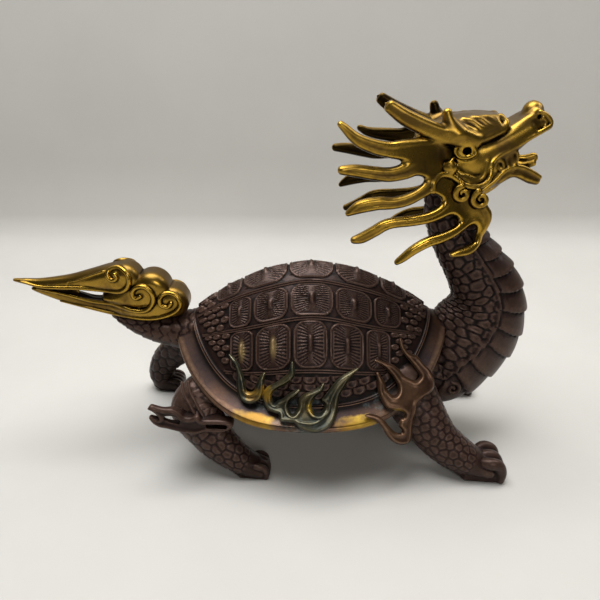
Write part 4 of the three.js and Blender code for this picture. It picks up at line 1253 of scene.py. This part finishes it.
# Locks in side view: strokes [x, z, half width]
UPPER_LOCK = [
    [-61.6, 64.5, 5.7], [-67, 64.5, 4.8], [-73.5, 63.8, 3.8], [-80, 62.8, 3], [-86, 62.3, 2.4],
    [-92.7, 62.2, 1.7], [-98, 62.8, 1.1], [-101.7, 63.3, 0.6],
]
MIDDLE_LOCK = [
    [-52.6, 60.6, 6.7], [-57.5, 59.2, 5.8], [-62, 58, 4.2], [-66.5, 57.4, 2.8], [-69.2, 57.3, 1.9],
]
LOWER_LOCK = [
    [-45.9, 55.6, 6.1], [-50.5, 54.2, 4.9], [-56.3, 53, 3.6], [-65.7, 53.3, 3.2], [-74.4, 54.2, 2.4],
    [-80, 55.9, 2.7], [-86, 57.6, 2.4], [-92, 59.1, 1.5], [-95.6, 60, 0.7],
]
TIP_WEB = [[-92, 60.4, 0.8], [-87, 59.8, 1], [-80.5, 58.6, 1.2]]
# Cords along the edge of each lock, wound up at its root
UPPER_CORD = [
    [-99.2, 63.2], [-92.7, 61.5], [-85.1, 61.3], [-77.3, 61.4], [-69.8, 60.6], [-63.6, 60.7], [-60.3, 62.6],
    [-59.2, 65.8], [-60.4, 68.4], [-63.2, 69.6], [-66, 68.8], [-66.9, 67], [-65.4, 65.3], [-63.6, 66.2],
    [-64.1, 67.4],
]
UPPER_CREASE = [[-82, 63.4], [-78.7, 64.2], [-73.4, 66.2], [-68.4, 68]]
MIDDLE_CORD = [
    [-94, 60.3], [-85.7, 58.8], [-80, 57.4], [-74.4, 55.8], [-66.7, 55.2], [-59.1, 53.8], [-54.3, 54.2],
    [-51.6, 57.3], [-51.7, 60.7], [-54.1, 63.2], [-57.2, 62.8], [-58.6, 60.7], [-57.7, 58.8], [-55.9, 59.6],
]
LOWER_CORD = [
    [-86.2, 55.6], [-76.4, 53.2], [-65.7, 51.2], [-56.3, 50.4], [-49.9, 51.1], [-44.1, 53.6], [-42.1, 56.8],
    [-43.6, 59.6], [-46.6, 60.5], [-49, 59], [-49, 56.4], [-46.7, 55.5], [-45.3, 57],
]
# Half widths of the plume, of all of it and of its lower part, by place along it
PLUME_HALF = [
    (-102, 0.8), (-96, 1.5), (-90, 2.1), (-80, 2.9), (-71, 4.1), (-64, 5.2), (-57, 5.9), (-40, 6.1),
]
LOW_HALF = [(-96, 1), (-86, 1.5), (-74, 2), (-69.5, 2.6), (-64, 4.8), (-57, 5.9), (-40, 6.1)]
PLUME_ROLL = 3.8
WEB_HALF = 0.5
CORD_LIFT = 0.3


def plume_half(x):
    return np.interp(x, *zip(*PLUME_HALF))


def low_half(x):
    return np.interp(x, *zip(*LOW_HALF))


def plume_face(x, z, wide):
    """Half width of the plume at a place in side view, where its edges are rolled over."""
    x, z = np.array([x]), np.array([z])
    roll = np.minimum(PLUME_ROLL, wide(x))
    off = np.minimum.reduce([stroke(lock, x, z) for lock in (UPPER_LOCK, MIDDLE_LOCK, LOWER_LOCK)])
    inside = np.clip(-off, 0, roll)
    return float((wide(x) - roll + np.sqrt(roll**2 - (roll - inside) ** 2))[0])


def tail_plume(finish):
    low, high = (-104, -8.2, 46.4), (-38, 8.2, 72.4)
    wax = Wax(low, high, 0.26)

    def lock(stations, wide, edge):
        return plate(low, high, lambda x, z: stroke(stations, x, z), flat_middle, lambda x, z: wide(x), edge)
    for stations, wide in ((LOWER_LOCK, low_half), (MIDDLE_LOCK, plume_half), (UPPER_LOCK, plume_half)):
        wax.add(lock(stations, wide, PLUME_ROLL), soft=0.5)
    wax.add(lock(TIP_WEB, lambda x: 0 * x + WEB_HALF, 0.2), soft=0.1)
    for side in SIDES:
        for cord, thick, wide in ((LOWER_CORD, 0.75, low_half), (MIDDLE_CORD, 0.8, low_half),
                                  (UPPER_CORD, 0.8, plume_half), (UPPER_CREASE, 0.45, plume_half)):
            wax.add(bar([
                [x, side * (plume_face(x, z, wide) + CORD_LIFT), z, thick * min(1, 0.45 + i / 5)]
                for i, (x, z) in enumerate(cord)
            ]), soft=0.3)
    wax.cut(bar([[x, y, z, a + SEAM, b + SEAM] for x, y, z, a, b in TAIL_ROOT]), soft=0.1)
    return shape("tail_plume_brass", wax.skin(), finish)


# Flames: plates that follow the shell. Their outlines are drawn on a plane that leans back, so that both the
# dome's flank and the rim face it; places on it are [x, height up the plane].

LEAN_BACK = math.radians(LOOK_DOWN)
FLAME_HALF = 1.15
FLAME_EDGE = 0.5
FLAME_LEAN = 2.2
FLAME_GROWTH = 0.35
FORKED_FLAME = [
    [-24, 31.6], [-21.9, 30], [-20.5, 27.7], [-19.4, 25.1], [-18.7, 22.1], [-18.2, 19.7], [-16.7, 19.1],
    [-15, 19.9], [-14.3, 21.9], [-13.3, 24.3], [-11.8, 25.8], [-12.1, 23.3], [-12.3, 20.3], [-13.1, 17.7],
    [-15, 16.2], [-17.3, 15.8], [-19.6, 16.9], [-20.8, 19.2], [-21.1, 22.3], [-21.1, 25], [-21.7, 28],
    [-23, 29.7],
]
RIM_FLAME = [
    [-2.6, 29.5], [-1.8, 26.5], [-2.8, 24.1], [-5.1, 22.3], [-7.8, 20.9], [-9.4, 19.3], [-9.6, 17.2],
    [-8.6, 15.7], [-7.3, 16.5], [-5.6, 17.3], [-3.9, 18.7], [-1.6, 20], [-0.3, 20.3], [-1.6, 18.5],
    [-3.4, 17.1], [-4.1, 15.2], [-3.5, 13.3], [-2.3, 12.5], [-1, 13.6], [-0.4, 15], [-0.1, 17.3],
    [1.5, 18.8], [3.8, 19.9], [6.2, 21.1], [7.7, 22.4], [7.1, 20.2], [5.1, 18.6], [3.8, 16.7], [3.5, 14.5],
    [4.7, 13.1], [6.5, 12.8], [8, 14.2], [8.3, 15.8], [7.5, 17.2], [8.3, 18.1], [10, 20.4], [12, 23],
    [14.6, 25.2], [19.2, 27.3], [17.7, 25.5], [16, 23.6], [14.5, 21.4], [13.1, 19.1], [12.5, 16.5],
    [12.1, 14], [11, 10.9], [8.9, 8.5], [5.8, 7.3], [2.5, 7.6], [-0.2, 8.9], [-1.8, 10.3], [-3.7, 10.5],
    [-6.4, 10.8], [-6.8, 12.7], [-8.3, 13.2], [-10.4, 14], [-11.9, 15.9], [-12.2, 18.4], [-10.9, 20.9],
    [-8.4, 22.3], [-5.8, 24], [-3.8, 25.9], [-3.1, 27.8],
]
RIM_LINES = [
    [[-1, 10.6, 0.2], [1.6, 10, 0.42], [4.9, 10.2, 0.42], [7.7, 11.6, 0.25]],
    [[2.9, 14, 0.2], [4.2, 12.2, 0.4], [6.8, 11.7, 0.4], [9.2, 13.2, 0.4], [9.8, 16, 0.25]],
    [[9.9, 16, 0.2], [10.8, 18.8, 0.4], [12.8, 21.8, 0.35], [15.6, 24.6, 0.2]],
]
SHOULDER_FLAME = [
    [34.2, 36.9], [35.7, 33.5], [37.5, 31.7], [40.3, 30.5], [42.1, 28.3], [44.2, 26.1], [45.6, 23.5],
    [45.9, 20.9], [44.5, 18.8], [41.3, 17], [39.5, 15.3], [39.1, 12.7], [38.3, 10.4], [37.8, 8.2],
    [37.6, 4.2], [36.6, 2.1], [34, 1.8], [31.5, 2.8], [29.3, 5], [27, 8.6], [24.6, 11], [21.7, 12],
    [24.4, 12.1], [27.2, 10.6], [29.6, 7.8], [31.6, 5.9], [33.8, 5.4], [34.5, 6.5], [33.3, 8.3],
    [33.8, 10.1], [35, 10.8], [35.3, 12.4], [33.7, 13.5], [31.5, 13.8], [28.9, 14.6], [27.3, 17.3],
    [26.5, 19.8], [26.4, 22.4], [25.9, 25.7], [27.2, 24], [28.3, 22.3], [29.2, 19.8], [30.7, 18],
    [32.3, 18], [33.3, 19.4], [33.3, 21.5], [31.8, 24.2], [29.6, 26.8], [27.4, 28.7], [25.3, 29.9],
    [28.5, 29], [31.5, 27.9], [33.7, 26.1], [35.4, 24.2], [37.3, 23.2], [39.3, 22.6], [40.7, 23.5],
    [41, 24.8], [39.7, 26.9], [37.9, 29.3], [36.1, 31.4], [34.6, 34],
]
# Where the flames are heated to gold: [x, z, radius]
RIM_GOLD = [[-17, 35, 4], [-10, 35, 3.5], [4, 32, 2.5]]
SHOULDER_GOLD = [[33, 29, 3]]
# The bed's lowest place, its cells' width and how many there are along and up
BED_LOW = (-40.0, -12.0)
BED_CELL = 0.3
BED_CELLS = (360, 240)
# Axis and cells to each side that the bed's level is averaged over, one time after another
BED_SMOOTHING = [(1, 6), (1, 6), (0, 3), (0, 3)]


def leaned(points):
    """Places [x, up the plane, out of it] of points [x, y, z]."""
    x, y, z = np.moveaxis(points, -1, 0)
    sine, cosine = math.sin(LEAN_BACK), math.cos(LEAN_BACK)
    return x, y * sine + z * cosine, z * sine - y * cosine


def flame_bed():
    """The level of the flames' middle over the leaning plane, as a function of places on it."""
    leans, reaches = np.radians(np.linspace(-65, 75, 1000)), np.linspace(0.72, 4.2, 900)
    lean, reach = np.meshgrid(leans, reaches, indexing="ij")
    angle = lean - math.pi / 2
    off = SEAM + SCUTE_PROUD * (1 - step(reach, 0.97, 1.1)) + FLAME_HALF
    points = shell_point(angle, reach, np.maximum(reach - 2, 0) * FLAME_LEAN)
    x, up, out = leaned(points + shell_normal(angle, reach) * off[..., None])
    size = BED_CELLS
    i, j = ((x - BED_LOW[0]) / BED_CELL).astype(int), ((up - BED_LOW[1]) / BED_CELL).astype(int)
    within = (i >= 0) & (j >= 0) & (i < size[0]) & (j < size[1])
    cell = (i * size[1] + j)[within]
    count = np.bincount(cell, minlength=size[0] * size[1]).reshape(size)
    level = np.bincount(cell, out[within], size[0] * size[1]).reshape(size) / np.maximum(count, 1)
    columns = np.arange(size[1])
    for row in range(size[0]):
        known = count[row] > 0
        if known.any():
            level[row] = np.interp(columns, columns[known], level[row][known])
    for axis, reach in BED_SMOOTHING:
        level = sum(np.roll(level, shift, axis) for shift in range(-reach, reach + 1)) / (2 * reach + 1)

    def bed(x, up):
        u = np.clip((x - BED_LOW[0]) / BED_CELL - 0.5, 0, size[0] - 1.01)
        v = np.clip((up - BED_LOW[1]) / BED_CELL - 0.5, 0, size[1] - 1.01)
        i, j = u.astype(int), v.astype(int)
        a, b = u - i, v - j
        return ((level[i, j] * (1 - a) + level[i + 1, j] * a) * (1 - b)
                + (level[i, j + 1] * (1 - a) + level[i + 1, j + 1] * a) * b)
    return bed


FLAME_BED = flame_bed()


def flames(name, outlines, side, finish, lines=()):
    """Flames cut from a plate, bowed to the shell, with lines raised on their face."""
    (left, bottom), (right, top) = np.vstack(outlines).min(axis=0) - 2, np.vstack(outlines).max(axis=0) + 2
    level = FLAME_BED(*np.meshgrid(np.linspace(left, right, 60), np.linspace(bottom, top, 60)))
    low, high = (left, level.min() - 2, bottom), (right, level.max() + 3, top)
    wax = Wax(low, high, 0.24)

    def side_view(x, z):
        return np.minimum.reduce([outline(corners, x, z) for corners in outlines]) - FLAME_GROWTH

    def half(x, z):
        return FLAME_EDGE + (FLAME_HALF - FLAME_EDGE) * step(-side_view(x, z), 0, 1.1)
    wax.add(plate(low, high, side_view, FLAME_BED, half, FLAME_EDGE, 0.2), soft=0.1)
    for line in lines:
        path = np.array(line)
        face = FLAME_BED(path[:, 0], path[:, 1]) + FLAME_HALF
        wax.add(bar(np.column_stack([path[:, 0], face, path[:, 1:]]).tolist()), soft=0.4)
    points, quads, tris = wax.skin()
    out, up = points[:, 1], points[:, 2]
    y = side * (out * math.cos(LEAN_BACK) - up * math.sin(LEAN_BACK))
    z = out * math.sin(LEAN_BACK) + up * math.cos(LEAN_BACK)
    return shape(name, outward(np.column_stack([points[:, 0], y, z]), quads, tris), finish)


# Finishes

def node(tree, kind, inputs=None, **settings):
    """A new node. An input is a value, or the output of another node."""
    made = tree.nodes.new("ShaderNode" + kind)
    for key, value in settings.items():
        setattr(made, key, value)
    for key, value in (inputs or {}).items():
        if isinstance(value, bpy.types.NodeSocket):
            tree.links.new(value, made.inputs[key])
        else:
            made.inputs[key].default_value = value
    return made


def mark(tree, name):
    return node(tree, "Attribute", attribute_name=name).outputs["Fac"]


def spread(tree, value, low, high, start=0.0, end=1.0):
    """A value taken from low to high onto start to end."""
    return node(tree, "MapRange", {0: value, 1: low, 2: high, 3: start, 4: end}).outputs[0]


def maths(tree, operation, a, b):
    return node(tree, "Math", {0: a, 1: b}, operation=operation).outputs[0]


def tinted(tree, share, a, b):
    """Colour a that turns to colour b by a share."""
    a, b = ((*c, 1) if isinstance(c, tuple) else c for c in (a, b))
    return node(tree, "Mix", {0: share, 6: a, 7: b}, data_type="RGBA").outputs[2]


def clouds(tree, size):
    """Cloudy values with patches of a size in millimetres."""
    place = node(tree, "TexCoord").outputs["Object"]
    settings = {"Vector": place, "Scale": 1 / (size * MM), "Detail": 4.0, "Roughness": 0.6}
    return node(tree, "TexNoise", settings).outputs["Fac"]


def surface_marks():
    """The marks that every cast finish shares: worn edges, which the finishes lighten also as painted
    highlights, filled hollows, cloudy patches and a fine skin.
    """
    tree = bpy.data.node_groups.new("surface_marks", "ShaderNodeTree")
    near, deep = mark(tree, "hollow"), mark(tree, "deep_hollow")
    speckle = spread(tree, clouds(tree, 1.3), 0.38, 0.66)
    sunk = maths(tree, "MAXIMUM", spread(tree, near, 0.54, 0.92), spread(tree, deep, 0.62, 0.98, 0, 0.85))
    # Worn edges: real wear, and also where the finishes paint highlights along the edges.
    wear_and_highlight = maths(tree, "MULTIPLY", spread(tree, near, 0.44, 0.12), spread(tree, speckle, 0, 1, 0.55, 1))
    skin = maths(tree, "ADD", maths(tree, "MULTIPLY", clouds(tree, 0.5), 0.5), clouds(tree, 3.2))
    patches = spread(tree, clouds(tree, 13), 0.36, 0.64)
    marks = {"EdgeWearAndHighlight": wear_and_highlight, "Hollow": sunk, "Patches": patches, "Speckle": speckle, "Height": skin}
    for name in marks:
        tree.interface.new_socket(name, in_out="OUTPUT", socket_type="NodeSocketFloat")
    end = tree.nodes.new("NodeGroupOutput")
    for name, value in marks.items():
        tree.links.new(value, end.inputs[name])
    return tree


SURFACE_MARKS = surface_marks()


def new_material(name):
    material = bpy.data.materials.new(name)
    material.use_nodes = True
    return material, material.node_tree, material.node_tree.nodes["Principled BSDF"]


def finish_of(name, metallic, roughness):
    """A new finish: its tree, its shader and the shared marks."""
    material, tree, shader = new_material(name)
    shader.inputs["Metallic"].default_value = metallic
    shader.inputs["Roughness"].default_value = roughness
    shader.inputs["Specular IOR Level"].default_value = 0.22
    marks = tree.nodes.new("ShaderNodeGroup")
    marks.node_tree = SURFACE_MARKS
    return material, tree, shader, marks.outputs


def dressed(tree, shader, marks, colour, roughness, relief):
    """Links the colour and the roughness, and puts the fine skin on the normals."""
    tree.links.new(colour, shader.inputs["Base Color"])
    tree.links.new(roughness, shader.inputs["Roughness"])
    skin = node(tree, "Bump", {"Strength": 0.35, "Distance": relief * MM, "Height": marks["Height"]})
    tree.links.new(skin.outputs["Normal"], shader.inputs["Normal"])


GREEN_STAIN = (0.02, 0.03, 0.03), (0.15, 0.18, 0.175)
YELLOW_STAIN = (0.3, 0.16, 0.022), (0.58, 0.38, 0.045)
RUBBED_BRONZE = (0.32, 0.22, 0.09)


def bronze_finish(name, base, second, edge, hollow, metallic, rough):
    """Patinated bronze: two brown tones in patches, worn edges in a lighter colour that also paints
    highlights, dark hollows, painted shade where the piece is turned down or closed in, and the brazing's
    marks.
    """
    material, tree, shader, marks = finish_of(name, metallic, rough[0])
    colour = tinted(tree, marks["Patches"], base, second)
    colour = tinted(tree, spread(tree, marks["Speckle"], 0, 1, 0, 0.25), colour, hollow)
    # Worn edges turn to the lighter edge colour, which also paints highlights along them.
    colour = tinted(tree, spread(tree, marks["EdgeWearAndHighlight"], 0, 1, 0, 0.75), colour, edge)
    colour = tinted(tree, spread(tree, marks["Hollow"], 0, 1, 0, 0.9), colour, hollow)
    # Painted shade: the hollows' dark colour laid where the piece is turned down, turned in or closed in.
    colour = tinted(tree, spread(tree, mark(tree, "painted_shade"), 0.1, 1, 0, 0.55), colour, hollow)
    broken = spread(tree, maths(tree, "ADD", mark(tree, "verdigris"), clouds(tree, 3)), 0.95, 1.2)
    green = tinted(tree, marks["Speckle"], *GREEN_STAIN)
    colour = tinted(tree, spread(tree, broken, 0, 1, 0, 0.8), colour, green)
    heated = spread(tree, maths(tree, "ADD", mark(tree, "heat_tint"), clouds(tree, 5)), 0.95, 1.3)
    yellow = tinted(tree, marks["Patches"], *YELLOW_STAIN)
    colour = tinted(tree, spread(tree, heated, 0, 1, 0, 0.9), colour, yellow)
    colour = tinted(tree, spread(tree, mark(tree, "rubbed"), 0, 1, 0, 0.8), colour, RUBBED_BRONZE)
    dressed(tree, shader, marks, colour, spread(tree, marks["Hollow"], 0, 1, *rough), 0.1)
    return material


def gilt_finish(name, bright, dull_and_shade, dark):
    """Gilded brass: bright where it is rubbed, which also paints highlights on the edges, dull brown gold in
    patches and in a painted shadow behind the eye, and nearly black in the hollows and as painted shade where
    the piece is turned down or closed in.
    """
    material, tree, shader, marks = finish_of(name, 1.0, 0.24)
    # The dull share also carries the painted shadow behind the eye, from the head's mark.
    dull_and_shade_share = maths(tree, "MAXIMUM", spread(tree, marks["Patches"], 0.1, 0.9, 0.12, 0.95), mark(tree, "dull_and_shade"))
    colour = tinted(tree, dull_and_shade_share, bright, dull_and_shade)
    # Edges are rubbed bright, which also paints highlights along them.
    colour = tinted(tree, spread(tree, marks["EdgeWearAndHighlight"], 0, 1, 0, 0.85), colour, bright)
    # Painted shade: nearly black where the piece is turned down, turned in or closed in.
    painted_shade = spread(tree, maths(tree, "ADD", mark(tree, "painted_shade"), clouds(tree, 6)), 0.7, 1.35, 0, 0.94)
    colour = tinted(tree, maths(tree, "MAXIMUM", marks["Hollow"], painted_shade), colour, dark)
    filled = spread(tree, marks["Hollow"], 0, 1, 0, 0.2)
    roughness = maths(tree, "ADD", spread(tree, dull_and_shade_share, 0, 1, 0.2, 0.36), filled)
    dressed(tree, shader, marks, colour, roughness, 0.06)
    return material


dark_bronze = bronze_finish(
    "dark_bronze", base=(0.025, 0.0115, 0.0083), second=(0.039, 0.0195, 0.0148), edge=(0.115, 0.068, 0.05),
    hollow=(0.002, 0.0012, 0.001), metallic=0.35, rough=(0.38, 0.55),
)
rim_bronze = bronze_finish(
    "rim_bronze", base=(0.033, 0.022, 0.023), second=(0.085, 0.043, 0.026), edge=(0.24, 0.14, 0.085),
    hollow=(0.006, 0.004, 0.0036), metallic=0.5, rough=(0.34, 0.5),
)
verdigris_bronze = bronze_finish(
    "verdigris_bronze", base=(0.022, 0.028, 0.026), second=(0.07, 0.052, 0.02), edge=(0.19, 0.17, 0.1),
    hollow=(0.008, 0.013, 0.012), metallic=0.7, rough=(0.3, 0.5),
)
copper_bronze = bronze_finish(
    "copper_bronze", base=(0.06, 0.029, 0.018), second=(0.095, 0.05, 0.026), edge=(0.26, 0.15, 0.09),
    hollow=(0.006, 0.0035, 0.0028), metallic=0.6, rough=(0.32, 0.5),
)
gilt_brass = gilt_finish(
    "gilt_brass", bright=(0.5, 0.3, 0.04), dull_and_shade=(0.12, 0.07, 0.02), dark=(0.006, 0.0035, 0.0018),
)


def mark_stains(piece):
    """Marks where the brazing heated the metal, where green has grown, and where bosses are rubbed bright."""
    x, y, z = drawn_places(piece.data)
    along, over = (x - SHELL_MIDDLE) / DOME_HALF_LENGTH, np.abs(y) / DOME_HALF_WIDTH
    reach = np.hypot(along, over)
    lean = np.degrees(np.arctan2(along, over))
    low = np.clip(1 - (z - 25) / 22, 0, 1)
    over_rim = z - saddle(RIM_EDGE, np.arctan2(y / DOME_HALF_WIDTH, along))
    on_shell = step(over_rim, -3.4, -2.2) * (1 - step(reach, 1.28, 1.4))
    rim = step(reach, 0.98, 1.06) * low
    heat = rim * (bump(lean + 23, 11) + bump(lean - 18, 10)) * step(reach, 1.06, 1.17)
    spots = bump(lean + 20, 16) + bump(lean - 32, 16) + 0.8 * bump(lean, 10)
    green = 0.72 * step(reach, 0.82, 0.92) * low * spots
    rubbed = np.zeros(len(x))
    for start, end in zip(LOWER_ROW["ends"][:2], LOWER_ROW["ends"][1:3]):
        spot = dome_point((start + end) / 2, (LOWER_ROW["inner"] + LOWER_ROW["outer"]) / 2)
        far = np.hypot((x - spot[0]) / 1.1, (z - spot[2]) / 3)
        rubbed = np.maximum(rubbed, np.clip(1.3 - far, 0, 1) * (y < 0))
    set_mark(piece.data, "heat_tint", heat * on_shell)
    set_mark(piece.data, "verdigris", green * (1 - 0.9 * heat) * on_shell)
    set_mark(piece.data, "rubbed", rubbed)


def mark_flame_stains(piece, gold, green):
    """Marks where flames are heated to gold, at places [x, z, radius], and how much green is on them."""
    x, _, z = drawn_places(piece.data)
    heat = sum(bump(np.hypot(x - a, z - c), r) for a, c, r in gold)
    set_mark(piece.data, "heat_tint", 0.75 * heat)
    set_mark(piece.data, "verdigris", green * (1 - 0.8 * np.clip(heat, 0, 1)))


def head_dullness_and_shadow(x, y, z):
    """Dull on the crown and at the tips of the mane, and painted shadow in a patch behind the eye, under the
    horn.
    """
    crown = 0.9 * step(z, 115, 119)
    tips = 0.95 * step(np.hypot(x - 54, z - 106), 27, 44) * (x < 50)
    # The patch behind the eye is painted shadow, where the horn and the mane shade the head.
    return np.maximum.reduce([crown, tips, bump(np.hypot(x - 43, z - 110), 5)])


def plume_dullness(x, y, z):
    """Dull all over, and more so inside the rolled edges."""
    return 0.5 * (1 - step(np.abs(y) - plume_half(x), -1.6, -0.2)) + 0.4


# The pieces in place

body = finished(turtle_body(dark_bronze, rim_bronze), "turtle_body")
mark_stains(body)
head = finished(dragon_head(gilt_brass), "dragon_head")
set_mark(head.data, "dull_and_shade", head_dullness_and_shadow(*drawn_places(head.data)))
plume = finished(tail_plume(gilt_brass), "tail_plume")
set_mark(plume.data, "dull_and_shade", plume_dullness(*drawn_places(plume.data)))
for side, name in zip(SIDES, ("right", "left")):
    flame = flames("rim_flames_bronze_" + name, [FORKED_FLAME, RIM_FLAME], side, verdigris_bronze, RIM_LINES)
    finished(flame, "rim_flames_" + name)
    mark_flame_stains(flame, RIM_GOLD, 0.36)
    flame = flames("shoulder_flame_bronze_" + name, [SHOULDER_FLAME], side, copper_bronze)
    finished(flame, "shoulder_flame_" + name)
    mark_flame_stains(flame, SHOULDER_GOLD, 0.15)


# Floor, light and camera

FLOOR_HALF_WIDTH = 1200
# The floor in side view, [distance behind the middle, height], with a bend up into the wall
FLOOR_SECTION = [(-900, 0), (170, 0), (186, 1), (198, 5), (206, 12), (210, 24), (211, 60), (211, 900)]
FLOOR_TONES = (0.5, 0.488, 0.46), (0.56, 0.547, 0.515)
LENS, SENSOR = 36, 36
CAMERA_BACK, CAMERA_HEIGHT = 0.1971, 0.147


def floor_and_backdrop():
    """A pale floor that runs back and curves up into a wall."""
    points = [[x, y, z] for y, z in FLOOR_SECTION for x in (-FLOOR_HALF_WIDTH, FLOOR_HALF_WIDTH)]
    faces = [[2 * i, 2 * i + 1, 2 * i + 3, 2 * i + 2] for i in range(len(FLOOR_SECTION) - 1)]
    mesh = bpy.data.meshes.new("pale_floor")
    mesh.from_pydata([[c * MM for c in p] for p in points], [], faces)
    mesh.polygons.foreach_set("use_smooth", [True] * len(mesh.polygons))
    floor = bpy.data.objects.new("pale_floor", mesh)
    bpy.context.collection.objects.link(floor)
    material, tree, shader = new_material("pale_cloth")
    shader.inputs["Roughness"].default_value = 0.9
    tree.links.new(tinted(tree, clouds(tree, 60), *FLOOR_TONES), shader.inputs["Base Color"])
    mesh.materials.append(material)


def lamp(name, place, aim, size, power, colour=(1, 1, 1)):
    """A lamp at a place, aimed at another, both as the figure is drawn."""
    light = bpy.data.lights.new(name, "AREA")
    light.shape = "RECTANGLE"
    light.size, light.size_y = size[0] * MM, size[1] * MM
    light.energy = power
    light.color = colour
    lamp_object = bpy.data.objects.new(name, light)
    bpy.context.collection.objects.link(lamp_object)
    start, end = (Vector([(x + FORWARD) * MM, y * MM, z * MM]) for x, y, z in (place, aim))
    lamp_object.location = start
    lamp_object.rotation_euler = (end - start).to_track_quat("-Z", "Y").to_euler()


floor_and_backdrop()
lamp("overhead", (-60, 60, 640), (0, 0, 40), (560, 420), 6.6)
lamp("side_window", (420, 160, 480), (20, 0, 60), (300, 300), 1.3, (1, 0.98, 0.95))
lamp("front_fill", (160, -620, 360), (0, 0, 50), (260, 200), 0.95, (1, 0.97, 0.93))

bpy.context.scene.view_settings.view_transform = "Standard"
world = bpy.data.worlds.new("studio")
bpy.context.scene.world = world
world.use_nodes = True
sky = world.node_tree.nodes["Background"].inputs
sky["Color"].default_value = (0.75, 0.76, 0.78, 1)
sky["Strength"].default_value = 0.09

camera = bpy.data.cameras.new("camera")
camera.lens = LENS
camera.sensor_width = SENSOR
camera.clip_start = 0.01
eye = bpy.data.objects.new("camera", camera)
bpy.context.collection.objects.link(eye)
eye.location = (FORWARD * MM, -CAMERA_BACK, CAMERA_HEIGHT)
eye.rotation_euler = (math.radians(90 - LOOK_DOWN), 0, 0)
bpy.context.scene.camera = eye
